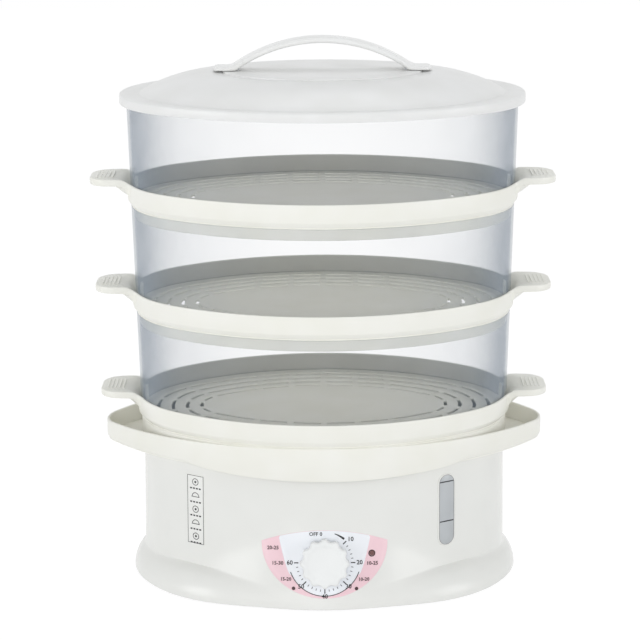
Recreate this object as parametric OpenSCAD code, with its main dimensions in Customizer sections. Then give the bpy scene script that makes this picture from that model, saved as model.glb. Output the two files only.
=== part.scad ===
// Electric food steamer: an oval heated base, a drip tray, three clear tiers on white trays, and a lid.
// Front is -Y, +Z is up, and the rubber feet stand on z = 0.

/* [Tray outline] */
// Half length of the top tray's rim
tray_a = 144.7; // [140:0.1:150]
// Half depth of the top tray's rim
tray_b = 101.3; // [98:0.1:104]
// Step by which each lower tier is smaller
tier_step = 1.75; // [1.75:0.05:2.2]

/* [Trays] */
// Height of a tray's outer wall
tray_h = 18; // [16:0.5:20]
// Thickness of a tray's wall
tray_wall = 1.8; // [1.4:0.1:2.2]
// Depth of the floor below the rim
floor_drop = 13; // [11:0.5:13]
// Thickness of a tray's floor
floor_t = 2; // [1.6:0.1:2.4]
// Reach of the locating skirt below the wall
skirt_drop = 8.5; // [6:0.5:9]
// Height of the chamfer under the wall
chamfer_h = 5; // [3:0.5:5]
// Inward run of that chamfer
chamfer_in = 2.2; // [1.6:0.1:2.2]
// Length of an ear beyond the wall
ear_len = 27.5; // [22:0.5:30]
// Width of an ear at its tip
ear_w = 46; // [36:1:50]
// Thickness of an ear
ear_t = 4; // [3:0.5:5]
// Width of a slot in the floor
slot_w = 2.6; // [1.5:0.1:3.2]
// Distance from one ring of slots to the next
slot_pitch = 11; // [9:0.5:14]

/* [Bowls] */
// Height of a clear wall
bowl_h = 76; // [60:1:90]
// Thickness of a clear wall
bowl_wall = 1.8; // [1.4:0.1:2]
// Outward lean of a clear wall from bottom to top
bowl_flare = 1.7; // [1.2:0.1:1.7]

/* [Lid] */
// Thickness of the lid
lid_t = 2.2; // [1.8:0.1:2.6]
// Overhang of the flange past the top tray's outline
lid_over = 4.4; // [3.5:0.1:5.5]
// Depth of the flange's outer edge
lid_edge = 7; // [5:0.5:8]
// Depth of the lip that enters the top bowl
lid_lip = 6; // [4:0.5:7]
// Half depth of the dome at its base
dome_b = 98; // [94:0.5:99]
// Half depth of the oval platform on top
top_b = 53; // [46:0.5:56]
// Length of the dome and the platform over their depth
dome_ratio = 1.377; // [1.3:0.001:1.4]
// Rise of the dome from flange to platform
dome_rise = 15.8; // [13:0.1:18]
// Radius of the dome's shoulder
dome_shoulder = 60; // [55:1:70]
// Height of the platform's step
top_step = 1; // [0.6:0.1:1.4]

/* [Lid handle] */
// Height of the handle above the platform
grip_h = 24.5; // [20:0.5:30]
// Outer radius of the arch
grip_r = 115; // [100:1:130]
// Thickness of the strap
grip_t = 4.6; // [3.5:0.1:6]
// Width of the strap
grip_w = 20; // [14:1:24]
// Half length of the handle over its pads
grip_pad_x = 80; // [78:0.5:82]
// Thickness of the end pads
grip_pad_t = 3; // [2:0.5:4]

/* [Drip tray] */
// Half length over the end pockets
drip_a = 165.7; // [160:0.1:172]
// Half depth of the collar
drip_b = 96; // [95.4:0.1:97.5]
// Thickness of the collar
drip_wall = 2.2; // [1.8:0.1:2.6]
// Height from the housing's rim to the seat of the bottom tray
drip_h = 19.3; // [17:0.1:22]
// Drop of the collar's lower edge at the front
drip_dip = 6; // [3:0.5:8]
// Drop of the collar's upper edge at the ends
drip_crown = 4.5; // [3:0.5:6]

/* [Base body] */
// Height of the housing's upper rim above the table
body_top = 103; // [100:0.5:108]
// Half length of the housing at its rim
body_a = 137; // [134:0.5:138]
// Half depth of the housing at its rim
body_b = 88; // [86:0.5:89]
// Widening of the housing towards its foot
body_draft = 1.4; // [0.6:0.1:1.6]
// Wall thickness of the housing
body_wall = 2.5; // [2:0.1:3]
// Half length over the flared foot
foot_a = 147; // [145:0.5:149]
// Half depth over the flared foot
foot_b = 102.6; // [101:0.1:103.5]
// Radius of the flare
flare_r = 20.3; // [19:0.1:21.5]
// Gap under the housing that the rubber feet leave
foot_gap = 1.5; // [1:0.1:2.5]

/* [Dial bulge] */
// Radius of the cone-shaped bulge at table level
bulge_r = 147.5; // [146:0.5:149]
// Distance of the bulge's axis behind the middle
bulge_y = 42; // [41:0.5:43]
// Inward lean of the bulge per millimetre of height
bulge_lean = 0.28; // [0.26:0.01:0.3]
// Height of the dial's centre
dial_z = 35; // [34:0.5:36.5]
// Half width of the fascia
panel_a = 46.2; // [44:0.2:47]
// Height of the fascia's lower curve
panel_b = 41; // [39:0.5:42]
// Rise of that curve's centre above the dial
panel_up = 15; // [14:0.5:16]
// Height of the fascia's top above the dial
panel_top = 23.7; // [22:0.1:24]
// Radius of the fascia's top edge
panel_top_r = 143; // [120:1:160]
// Thickness of the fascia
panel_t = 1.2; // [1:0.1:1.6]

/* [Knob and timer] */
// Diameter of the knob
knob_d = 36; // [30:0.5:38]
// Height of the knob
knob_h = 10.5; // [9:0.5:13]
// Number of finger flutes
knob_flutes = 12; // [8:1:16]
// Diameter of the timer shaft
shaft_d = 6; // [5:0.1:7]
// Radial clearance of the shaft in its bearings
shaft_gap = 0.05; // [0.02:0.01:0.1]
// Diameter of the timer case
case_d = 45; // [44:0.5:46]
// Depth of the timer case
case_h = 20; // [19:0.5:20.5]
// Module of the gears
gear_m = 0.5; // [0.45:0.01:0.55]
// Teeth of the main wheel
main_teeth = 48; // [40:1:50]
// Teeth of the pinion
pinion_teeth = 12; // [10:1:13]

/* [Water tank and heater] */
// Half length of the tank
tank_a = 122; // [116:0.5:124]
// Half depth of the tank
tank_b = 59.6; // [58.5:0.1:60.5]
// Wall thickness of the tank
tank_wall = 1.8; // [1.5:0.1:2.2]
// Height of the tank's underside
tank_z = 45; // [44:0.5:48]
// Space between the heater plate and the steam sleeve
heater_room = 3.2; // [2.5:0.1:5]
// Diameter of the tube heater
element_d = 7; // [6:0.5:8]
// Distance from the heater plate's edge in to the tube heater's middle
element_in = 21; // [20:0.5:22.5]
// Outer diameter of the steam sleeve
sleeve_d = 96; // [88:0.5:106]
// Height of the steam sleeve
sleeve_h = 38; // [30:1:42]

/* [Water gauge] */
// Width of the window
gauge_w = 13.5; // [11:0.5:15]
// Height of the window
gauge_h = 55; // [48:1:57]
// Height of the window's middle
gauge_z = 64.7; // [63:0.1:66]
// Sideways place of the window
gauge_x = 90.5; // [84:0.5:94]
// Width of the printed table
table_w = 14.5; // [12:0.5:17]
// Height of the printed table
table_h = 54; // [46:1:56]
// Sideways place of the printed table
table_x = -95.5; // [-97:0.5:-88]

/* [Hidden] */
$fn = 96;

eps = 0.01;
big = 400;
fit = 0.2;        // gap of a part that sits in an opening
loose = 0.5;      // gap of a part that lifts out by hand
screw_d = 3;
screw_head_d = 5.6;
screw_head_h = 2;
screw_cross = 0.8;

// Directions, as cosine and sine, along which an oval's arcs meet. They are Pythagorean, so the arcs
// join exactly. The later ones give blunter ends.
pointed = [0.8, 0.6];
rounded = [0.6, 0.8];
blunt = [0.28, 0.96];

// An oval of four arcs: [end centre, side centre, end radius, side radius, meeting direction].
function oval(a, b, way) =
  let (span = round(2 * (a - b) / (way[0] + way[1] - 1)) / 2, r = a - span * way[0])
  [span * way[0], span * way[1], r, r + span, way];
// Front y of an oval that is offset by d, and the angle of its surface there, at sideways place x.
function front_y(o, x, d = 0) = o[1] - sqrt((o[3] + d) * (o[3] + d) - x * x);
function front_turn(o, x, d = 0) = asin(x / (o[3] + d));

tray_o = oval(tray_a, tray_b, rounded);
drip_o = oval(drip_a, drip_b, pointed);
body_o = oval(body_a, body_b, rounded);
foot_o = oval(foot_a, foot_b, blunt);
tank_o = oval(tank_a, tank_b, blunt);

// Heights of the stack, from the housing's rim up
seat_z = body_top + drip_h;
floor_rise = tray_h - floor_drop;
tier_pitch = floor_rise + bowl_h;
function tier_in(k) = -(2 - k) * tier_step;
function tier_z(k) = seat_z + k * tier_pitch;
bowl_in = tray_wall + loose;
skirt_t = 1.8;
skirt_in = bowl_in + bowl_wall - bowl_flare + tier_step + loose + 0.45;
lid_z = tier_z(3);
lid_top = lid_z + lid_t + dome_rise;

// Dial frame: x to the right, y up the bulge, z out of it
tilt = atan(bulge_lean);
dial_r = bulge_r - bulge_lean * dial_z;
function bulge_at(z) = bulge_r - bulge_lean * z;

// The wedge between two meeting directions, for an end or a side arc, from its centre.
module end_wedge(way) {
  polygon([[0, 0], [big * way[0], -big * way[1]], [big * way[0], big * way[1]]]);
}

module side_wedge(way, x = 0, y = 0) {
  polygon([[-x, y], [x, y], [x + big * way[0], y + big * way[1]], [-x - big * way[0], y + big * way[1]]]);
}

// Sweeps a section along an oval: x is the distance out from it, y the height.
module sweep(o) {
  for (side = [0, 180])
    rotate(side) {
      translate([o[0], 0, 0])
        intersection() {
          rotate_extrude() translate([o[2], 0]) children();
          translate([0, 0, -10]) linear_extrude(big + 50) end_wedge(o[4]);
        }
      translate([0, -o[1], 0])
        intersection() {
          rotate_extrude() translate([o[3], 0]) children();
          translate([0, 0, -10]) linear_extrude(big + 50) side_wedge(o[4]);
        }
    }
}

module oval_2d(o, d = 0) {
  for (side = [0, 180])
    rotate(side) {
      translate([o[0], 0])
        intersection() {
          circle(o[2] + d);
          end_wedge(o[4]);
        }
      intersection() {
        translate([0, -o[1]]) circle(o[3] + d);
        side_wedge(o[4], o[0]);
      }
    }
}

module oval_plate(o, d, z, h) {
  translate([0, 0, z]) linear_extrude(h) oval_2d(o, d);
}

module mirror_x() {
  children();
  mirror([1, 0, 0]) children();
}

// Places things on the dial's frame, or elsewhere on the bulge at a turn about its axis.
module on_bulge(turn = 0, z = dial_z) {
  translate([0, bulge_y, 0]) rotate(turn)
    translate([0, -bulge_at(z), z]) rotate([90 - tilt, 0, 0]) children();
}

module slot_2d(w, h) {
  translate([0, (h - w) / 2]) circle(w / 2);
  translate([0, -(h - w) / 2]) circle(w / 2);
  square([w, h - w], center = true);
}

module tube(d_out, d_in, h) {
  difference() {
    cylinder(h = h, d = d_out);
    translate([0, 0, -1]) cylinder(h = h + 2, d = d_in);
  }
}

// A screw that points up, with its head's seat at z = 0 and a cross in the head.
module screw(length, head_d = screw_head_d, head_h = screw_head_h) {
  translate([0, 0, -head_h / 3]) cylinder(h = length + head_h / 3, d = screw_d);
  translate([0, 0, -head_h])
    difference() {
      cylinder(h = head_h, d = head_d);
      for (turn = [0, 90])
        rotate(turn) translate([-head_d / 3, -screw_cross / 2, -eps])
          cube([head_d / 1.5, screw_cross, head_h * 0.45]);
    }
}

/* ---- Trays ---- */
ear_root = 12;     // how far an ear's plan reaches back over the wall
ear_lift = 3.6;    // height of an ear's top above the rim
ear_flare = 7;     // extra half width where an ear joins the wall
ear_corner = 12;
ear_ribs = 4;
ear_rib_pitch = 3.2;
ear_web = 10;      // depth of the gusset under an ear, at the wall
ear_run = 13;      // length of that gusset
ear_rib_w = 1.2;
ear_rib_h = 0.6;
slot_rings = 4;
slot_bar = 5;      // width of the floor between two slots
slot_bar_pitch = 25;
tab_w = 8;
tab_h = 15;
tray_lip = 0.6;
floor_in = skirt_in + skirt_t + 2;
slot_in = floor_in + 5;

module ear_plan(a) {
  tip = a + ear_len;
  translate([a - ear_root, -ear_w / 2]) square([ear_root + ear_len - ear_corner, ear_w]);
  translate([a, -ear_w / 2 + ear_corner]) square([ear_len, ear_w - 2 * ear_corner]);
  for (side = [0, 1])
    mirror([0, side]) {
      translate([tip - ear_corner, ear_w / 2 - ear_corner]) circle(ear_corner);
      difference() {
        translate([a - ear_root, ear_w / 2 - eps]) square([ear_root + ear_flare, ear_flare + eps]);
        translate([a + ear_flare, ear_w / 2 + ear_flare]) circle(ear_flare);
      }
    }
}

// Side view of an ear: thick at the wall, a thin plate at the tip.
module ear_side(a) {
  top = ear_lift;
  low = top - ear_t;
  polygon([[a - ear_root, -ear_web], [a + ear_run * 0.08, -ear_web], [a + ear_run * 0.4, -ear_web * 0.7],
    [a + ear_run * 0.7, -ear_web * 0.34], [a + ear_run, low], [a + ear_len + 1, low],
    [a + ear_len + 1, top], [a + ear_run / 2, top], [a + ear_run / 4, top * 0.7], [a, top / 6],
    [a - ear_root, 0]]);
}

module ear(a, rim) {
  reach = ear_w + 2 * ear_flare + 2;
  intersection() {
    translate([0, 0, rim - ear_web - 1]) linear_extrude(ear_web + ear_lift + 2) ear_plan(a);
    translate([0, 0, rim]) rotate([90, 0, 0]) linear_extrude(reach, center = true) ear_side(a);
  }
  for (i = [0 : ear_ribs - 1])
    translate([a + ear_len - ear_corner / 2 - i * ear_rib_pitch, 0, rim + ear_lift])
      cube([ear_rib_w, ear_w - 1.3 * ear_corner, 2 * ear_rib_h], center = true);
}

module tray_section() {
  low = -skirt_in - skirt_t;
  polygon([[-chamfer_in, 0], [0, chamfer_h], [0, tray_h - tray_lip], [-tray_lip, tray_h],
    [-tray_wall, tray_h], [-tray_wall, floor_rise], [-floor_in, floor_rise],
    [-floor_in, floor_rise - floor_t], [low, floor_rise - floor_t], [low, -skirt_drop],
    [-skirt_in, -skirt_drop], [-skirt_in, 0]]);
}

// Bars that break each ring of slots: straight across the middle, radial at the ends.
module slot_bars(o) {
  for (i = [-2 : 2])
    translate([i * slot_bar_pitch - slot_bar / 2, -o[3]]) square([slot_bar, 2 * o[3]]);
  for (side = [0, 180], turn = [-48, -16, 16, 48])
    rotate(side) translate([o[0], 0]) rotate(turn) translate([0, -slot_bar / 2])
      square([o[2] * 2, slot_bar]);
}

module tray_floor(d) {
  difference() {
    oval_2d(tray_o, d - floor_in + 0.5);
    for (i = [0 : slot_rings - 1]) {
      out = d - slot_in - i * slot_pitch;
      difference() {
        oval_2d(tray_o, out);
        oval_2d(tray_o, out - slot_w);
        slot_bars(tray_o);
      }
    }
  }
}

module tray(k) {
  d = tier_in(k);
  z = tier_z(k);
  rim = z + tray_h;
  tab_x = tray_a + d - bowl_in - bowl_wall - 1.5 * skirt_t - loose;
  sweep(tray_o) translate([d, z]) tray_section();
  translate([0, 0, z + floor_rise - floor_t]) linear_extrude(floor_t) tray_floor(d);
  difference() {
    mirror_x() ear(tray_a + d, rim);
    oval_plate(tray_o, d - tray_wall / 2, rim - tray_h, 2 * tray_h);
  }
  mirror_x() translate([tab_x, -tab_w / 2, z + floor_rise - eps]) cube([skirt_t, tab_w, tab_h]);
}

module top_tray() { color("#f4f3ee") tray(2); }
module middle_tray() { color("#f4f3ee") tray(1); }
module bottom_tray() { color("#f4f3ee") tray(0); }

/* ---- Clear walls ---- */
module bowl(k) {
  color("#c3ccd6", 0.45)
    sweep(tray_o) translate([tier_in(k) - bowl_in, tier_z(k) + floor_rise])
      polygon([[0, 0], [bowl_flare, bowl_h], [bowl_flare - bowl_wall, bowl_h], [-bowl_wall, 0]]);
}

module top_bowl() bowl(2);
module middle_bowl() bowl(1);
module bottom_bowl() bowl(0);

/* ---- Lid ---- */
lip_in = tier_step - skirt_in;    // outer face of the lid's lip, from the top tray's outline
edge_round = 1.2;
vent_x = [98, 104, 110];
vent_y = [54, 49, 44];

// Half section of the dome, shrunk by t for its inside.
module dome_half(t, low) {
  flat = lid_top - top_step - t;
  intersection() {
    translate([0, low]) square([dome_b - t, flat - low]);
    union() {
      translate([0, low]) square([dome_b - dome_shoulder * 2 / 3, flat - low]);
      translate([dome_b - dome_shoulder * 2 / 3, flat - dome_shoulder + t]) circle(dome_shoulder - t);
    }
  }
}

module lid_shell() {
  screw_hole = screw_d + 0.4;
  color("#f3f3ef")
    difference() {
      union() {
        scale([dome_ratio, 1, 1]) rotate_extrude() dome_half(0, lid_z);
        scale([dome_ratio, 1, 1]) translate([0, 0, lid_top - top_step - 1])
          cylinder(h = top_step + 1, r = top_b);
        oval_plate(tray_o, 0, lid_z, lid_t);
        sweep(tray_o) translate([0, lid_z]) polygon([[lid_over - lid_t, lid_t - lid_edge],
          [lid_over, lid_t - lid_edge], [lid_over, lid_t - edge_round], [lid_over - edge_round, lid_t],
          [-1, lid_t], [-1, 0], [lid_over - lid_t, 0]]);
        sweep(tray_o) translate([lip_in, lid_z]) polygon([[-skirt_t, eps], [0, eps],
          [0, -lid_lip], [-skirt_t, -lid_lip]]);
      }
      scale([dome_ratio, 1, 1]) rotate_extrude() dome_half(lid_t, lid_z - 1);
      mirror_x() translate([grip_screw_x, 0, lid_top - 10]) cylinder(h = 20, d = screw_hole);
      for (i = [0 : 2])
        translate([vent_x[i], vent_y[i], lid_z + lid_t]) rotate(atan2(vent_y[i], vent_x[i] / 2))
          translate([-4, -1.1, -2]) cube([8, 2.2, dome_rise + 4]);
    }
}

/* ---- Lid handle ---- */
grip_screw_x = 62;
grip_pad_l = 22;
grip_bore = 5;

module lid_handle() {
  arch_z = lid_top + grip_h - grip_r;
  color("#f6f6f3")
    difference() {
      union() {
        intersection() {
          translate([0, 0, arch_z]) rotate([90, 0, 0]) linear_extrude(grip_w, center = true)
            difference() {
              circle(grip_r);
              circle(grip_r - grip_t);
            }
          translate([-grip_pad_x, -grip_w, lid_top]) cube([2 * grip_pad_x, 2 * grip_w, grip_h + 5]);
        }
        mirror_x() translate([grip_pad_x - grip_pad_l / 2, 0, lid_top]) intersection() {
          translate([-grip_pad_l / 2, -grip_w / 2 - 1, 0]) cube([grip_pad_l, grip_w + 2, grip_pad_t]);
          translate([-grip_pad_l / 2, 0, -1]) cylinder(h = grip_pad_t + 2, r = grip_pad_l);
        }
      }
      mirror_x() translate([grip_screw_x, 0, lid_top - 1]) cylinder(h = grip_bore + 1, d = screw_d + 0.1);
    }
}

module handle_screws() {
  roof = lid_top - top_step - lid_t;
  color("#b9bcc0")
    mirror_x() translate([grip_screw_x, 0, roof - fit / 2]) screw(lid_t + top_step + grip_bore - 2 * fit);
}

/* ---- Drip tray ---- */
rib_h = 5;
chimney_o = oval(58, 34, blunt);
chimney_h = 8;
chimney_bars = 2;

module drip_window() {
  dip_r = 105 * 105 / (2 * drip_dip);
  crown_r = drip_a * drip_a / (2 * drip_crown);
  intersection() {
    union() {
      translate([0, body_top - drip_dip + dip_r]) circle(dip_r, $fn = 1440);
      translate([-big / 2, body_top]) square([big, big / 4]);
    }
    translate([0, seat_z - crown_r]) circle(crown_r, $fn = 3600);
    translate([-big / 2, body_top - 2 * drip_dip]) square([big, big / 4]);
  }
}

module drip_tray() {
  ring_in = tier_in(0) - skirt_in + loose;
  color("#f2f1eb")
    difference() {
      union() {
        intersection() {
          sweep(drip_o) translate([-drip_wall, body_top - 2 * drip_dip])
            square([drip_wall, drip_h + 4 * drip_dip]);
          rotate([90, 0, 0]) linear_extrude(2 * drip_b + 20, center = true) drip_window();
        }
        oval_plate(drip_o, -drip_wall / 2, body_top, drip_wall);
        sweep(tray_o) translate([ring_in, body_top + drip_wall / 2]) square([2, drip_h - drip_wall / 2]);
        sweep(body_o) translate([-body_wall - loose - skirt_t, body_top - rib_h])
          square([skirt_t, rib_h + drip_wall / 2]);
        sweep(chimney_o) translate([0, body_top + drip_wall / 2]) square([skirt_t, chimney_h]);
      }
      difference() {
        oval_plate(chimney_o, 0, body_top - 1, drip_wall + 2);
        for (i = [-chimney_bars : chimney_bars])
          translate([i * 20 - 2, -60, body_top - 2]) cube([4, 120, drip_wall + 4]);
      }
    }
}

/* ---- Steam sleeve ---- */
floor_z = tank_z + tank_wall;
heater_d = sleeve_d - 2 * skirt_t - 2 * heater_room;
element_r = heater_d / 2 - element_in;
sleeve_ports = 6;

module steam_sleeve() {
  color("#e9e9e4")
    translate([0, 0, floor_z])
      difference() {
        union() {
          tube(sleeve_d, sleeve_d - 2 * skirt_t, sleeve_h);
          translate([0, 0, sleeve_h - 2]) tube(sleeve_d + 4, sleeve_d - 2 * skirt_t, 2);
        }
        for (i = [0 : sleeve_ports - 1])
          rotate(i * 360 / sleeve_ports + 30) translate([sleeve_d / 2 - 5, -6, -1]) cube([10, 12, 7]);
      }
}

/* ---- Base housing ---- */
wall_z0 = foot_gap + flare_r - 4.8;
wall_lean = atan(body_draft / (body_top - wall_z0));
shelf_z = 93;          // height of the shelf that carries the tank
shelf_w = 5;
shelf_t = 2;
post_d = 9;
post_top = 30;
post_rib_l = 11;
post_rib_w = 3;
post_rib_z = 12;
post_bore = 10;        // depth of a cover screw's hole in its post
cover_z = foot_gap + 0.3;
cover_t = 3;
bulge_top = 64;
bulge_half = 96;       // half width over which the bulge is built
bulge_back = 50;       // distance in front of the middle where it ends
case_z = 7;            // depth of the timer case behind the fascia's surface
case_boss_x = 16.5;
case_boss_d = 8;
case_screw_up = 2.2;    // thickness of a boss under the screw's head
lamp_up = 5.4;
lamp_turn = 14.7;
lamp_d = 6;
gland_x = -45;
gland_z = 34;
gland_d = 14;
post_xy = [[118, 28], [118, -28], [-118, 28], [-118, -28], [-55, 70]];
post_turn = [14, -14, 166, -166, 90];

function draft_at(z) = body_draft * (body_top - z) / (body_top - wall_z0);

// Frame on the drafted front wall: x along it, y up, z outwards.
module on_front(x, z) {
  translate([x, front_y(body_o, x, draft_at(z)), z]) rotate(front_turn(body_o, x, draft_at(z)))
    rotate([90 - wall_lean, 0, 0]) children();
}
module on_gauge() on_front(gauge_x, gauge_z) children();
module on_rear(x, z) rotate(180) on_front(x, z) children();

module body_walls() {
  sweep(body_o) polygon([[body_draft - body_wall, wall_z0], [body_draft, wall_z0], [0, body_top],
    [-body_wall, body_top]]);
  difference() {
    sweep(body_o) translate([-body_wall - shelf_w, shelf_z - shelf_t]) square([shelf_w + 1, shelf_t]);
    on_gauge() translate([-15, -gauge_h, -30]) cube([30, 2 * gauge_h, 30 - body_wall]);
  }
}

module flare() {
  sweep(foot_o) translate([-flare_r, foot_gap])
    intersection() {
      difference() {
        circle(flare_r);
        circle(flare_r - body_wall);
      }
      translate([4.3, 0]) square(flare_r);
    }
}

module bulge_cone(t, low, high) {
  translate([0, bulge_y, low])
    cylinder(h = high - low, r1 = bulge_at(low) - t / cos(tilt), r2 = bulge_at(high) - t / cos(tilt),
      $fn = 180);
}

module bulge() {
  difference() {
    bulge_cone(0, foot_gap, bulge_top);
    bulge_cone(body_wall, 0, bulge_top + 1);
    oval_plate(body_o, body_draft - body_wall / 2, -1, big / 2);
    oval_plate(foot_o, -body_wall, 0, cover_z + cover_t + fit);
    translate([-big / 2, -bulge_back, -1]) cube([big, big, big]);
    mirror_x() translate([bulge_half, -big / 2, -1]) cube([big, big, big]);
  }
}

module panel_2d(d = 0) {
  intersection() {
    translate([0, panel_up]) scale([(panel_a + d) / (panel_b + d), 1]) circle(panel_b + d);
    translate([0, panel_top - panel_top_r]) circle(panel_top_r + d, $fn = 180);
  }
}

// Everything in front of the bulge at depth t, to trim what is built behind it.
module bulge_outside(t) {
  difference() {
    translate([-big / 4, -big / 2, -big / 8]) cube([big / 2, big / 2, big / 2]);
    bulge_cone(t, -big / 8 - 1, bulge_top + 60);
  }
}

// The layer of the bulge between depths t0 and t1 that lies under the fascia's outline.
module panel_layer(t0, t1, d) {
  difference() {
    on_bulge() translate([0, 0, -20]) linear_extrude(30) panel_2d(d);
    bulge_cone(t1, -10, bulge_top + 20);
    bulge_outside(t0);
  }
}

module post(i) {
  h = post_top - cover_z - cover_t;
  translate([post_xy[i][0], post_xy[i][1], cover_z + cover_t]) {
    cylinder(h = h, d = post_d);
    rotate(post_turn[i]) translate([0, -post_rib_w / 2, post_rib_z])
      cube([post_rib_l, post_rib_w, h - post_rib_z]);
  }
}

module base_housing() {
  color("#f1f1ec")
    difference() {
      union() {
        body_walls();
        flare();
        bulge();
        difference() {
          on_bulge() for (side = [-1, 1])
            translate([side * case_boss_x, 0, -case_z]) cylinder(h = case_z - panel_t, d = case_boss_d);
          bulge_outside(body_wall / 2);
        }
        difference() {
          on_bulge(lamp_turn, dial_z + lamp_up) translate([0, 0, -14])
            cylinder(h = 13, d = lamp_d + 3);
          bulge_outside(body_wall / 2);
        }
        for (i = [0 : len(post_xy) - 1]) post(i);
      }
      panel_layer(-5, panel_t, fit);
      on_gauge() translate([0, 0, -body_wall * 3]) linear_extrude(30) slot_2d(gauge_w, gauge_h);
      on_front(table_x, gauge_z) translate([-table_w / 2, -table_h / 2, -0.5]) cube([table_w, table_h, 10]);
      on_bulge() translate([0, 0, -20]) cylinder(h = 40, d = shaft_d + 3);
      on_bulge() translate([0, 0, -46]) cylinder(h = 40 - eps, d = case_d + 3);
      on_bulge() for (side = [-1, 1])
        translate([side * case_boss_x, 0, -case_z - 1]) {
          cylinder(h = 20, d = screw_d + 0.4);
          translate([0, 0, case_screw_up + 1]) cylinder(h = 20, d = screw_head_d + 0.6);
        }
      on_bulge(lamp_turn, dial_z + lamp_up) translate([0, 0, -30]) cylinder(h = 60, d = lamp_d + fit);
      on_rear(gland_x, gland_z) translate([0, 0, -10]) cylinder(h = 30, d = gland_d);
      for (p = post_xy)
        translate([p[0], p[1], 0]) cylinder(h = cover_z + cover_t + post_bore, d = screw_d + 0.1);
    }
}

/* ---- Base cover and feet ---- */
cover_in = body_wall + fit + 0.3;
foot_xy = [[105, 52], [-105, 52], [105, -52], [-105, -52]];
foot_d = 16;
foot_stem_d = 6;
vent_rows = 7;
clamp_w = 26;
clamp_d = 8;
cord_d = 7.2;
clamp_gap = 0.4;       // half gap between the clamp's bar and its pedestal
clamp_back = 16;       // distance of the clamp behind the housing's rear wall

module at_clamp() {
  rotate(180) translate([gland_x, front_y(body_o, gland_x, draft_at(gland_z)), 0])
    rotate(front_turn(body_o, gland_x, draft_at(gland_z))) translate([0, clamp_back, 0]) children();
}

module clamp_groove() {
  at_clamp() translate([0, 0, gland_z]) rotate([90, 0, 0])
    cylinder(h = 3 * clamp_d, d = cord_d, center = true);
}

module at_clamp_bolts() {
  at_clamp() for (side = [-1, 1]) translate([side * (clamp_w / 2 - 4), 0, 0]) children();
}

module base_cover() {
  color("#e6e6e1")
    difference() {
      union() {
        translate([0, 0, cover_z]) linear_extrude(cover_t)
          difference() {
            oval_2d(foot_o, -cover_in);
            for (side = [-1, 1], i = [0 : vent_rows - 1])
              translate([side * 52 + (i - (vent_rows - 1) / 2) * 8, 0]) slot_2d(3, 34);
          }
        at_clamp() translate([-clamp_w / 2, -clamp_d / 2, cover_z + cover_t - eps])
          cube([clamp_w, clamp_d, gland_z - clamp_gap - cover_z - cover_t + eps]);
      }
      clamp_groove();
      at_clamp_bolts() translate([0, 0, gland_z - 12]) cylinder(h = 20, d = screw_d + 0.1);
      for (p = post_xy)
        translate([p[0], p[1], 0]) {
          cylinder(h = 12, d = screw_d + 0.4);
          cylinder(h = cover_z + screw_head_h + 0.1, d = screw_head_d + 0.8);
        }
      for (p = foot_xy)
        translate([p[0], p[1], 0]) cylinder(h = 12, d = foot_stem_d + 0.1);
    }
}

module cover_screws() {
  color("#b9bcc0")
    for (p = post_xy)
      translate([p[0], p[1], cover_z + screw_head_h + 0.1]) screw(post_bore);
}

module rubber_feet() {
  color("#4a4a4c")
    for (p = foot_xy)
      translate([p[0], p[1], 0]) {
        cylinder(h = cover_z, d = foot_d);
        cylinder(h = cover_z + cover_t + 1.4, d = foot_stem_d);
        translate([0, 0, cover_z + cover_t + 0.05])
          cylinder(h = 1.4, d1 = foot_stem_d + 1.6, d2 = foot_stem_d);
      }
}

/* ---- Water tank ---- */
gauge_flange = 2.75;   // width of the flange round the gauge's opening
gauge_back = body_wall + 0.35 + 1.6;
gasket_t = 1.5;
pocket_z = gauge_back + gasket_t;
pocket_l = 26;
heater_hole = heater_d - 12;

module water_tank() {
  color("#dcdcd6")
    difference() {
      union() {
        oval_plate(tank_o, 0, tank_z, shelf_z + shelf_t - tank_z);
        difference() {
          oval_plate(body_o, -body_wall - loose, shelf_z, shelf_t);
          on_gauge() translate([-15, -gauge_h, -pocket_l]) cube([30, 2 * gauge_h, big]);
        }
        on_gauge() {
          translate([-gauge_w / 2 - tank_wall, -gauge_h / 2 - tank_wall, -pocket_l])
            cube([gauge_w + 2 * tank_wall, gauge_h + 2 * tank_wall, pocket_l - pocket_z]);
          translate([0, 0, -pocket_z - tank_wall]) linear_extrude(tank_wall)
            slot_2d(gauge_w + 2 * gauge_flange, gauge_h + 2 * gauge_flange);
        }
      }
      oval_plate(tank_o, -tank_wall, floor_z, big);
      on_gauge() translate([0, 0, -pocket_l + tank_wall]) linear_extrude(pocket_l)
        slot_2d(gauge_w, gauge_h);
      translate([0, 0, tank_z - 1]) cylinder(h = 10, d = heater_hole);
    }
}

/* ---- Heater ---- */
heater_gasket_t = 1.5;
boss_z = tank_z - 2;
clamp_screw_l = 7;
clamp_hole_r = (element_r + element_d / 2 + heater_hole / 2) / 2;
clamp_in_r = element_r + element_d / 2 + 1;
thermostat_r = 8;
fuse_d = 3.6;
fuse_l = 12;
fuse_y = (thermostat_r + element_r - element_d / 2) / 2;
clamp_z = boss_z - 1.5;
pin_z = 28;
loop_turn = 300;

module three() {
  for (i = [0 : 2]) rotate(i * 120) children();
}

module heater_gasket() {
  color("#b5653a") translate([0, 0, floor_z]) tube(heater_d, heater_hole, heater_gasket_t);
}

module heater_plate() {
  top = floor_z + heater_gasket_t;
  color("#b4b7ba")
    difference() {
      union() {
        translate([0, 0, top]) cylinder(h = 2.5, d = heater_d);
        translate([0, 0, boss_z]) cylinder(h = top - boss_z + 1, d = heater_hole - 2);
      }
      translate([0, 0, boss_z]) rotate_extrude() translate([element_r, 0]) circle(d = element_d + 0.2);
      three() translate([clamp_hole_r, 0, clamp_z]) cylinder(h = clamp_screw_l + 0.5, d = screw_d + 0.1);
    }
}

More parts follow.
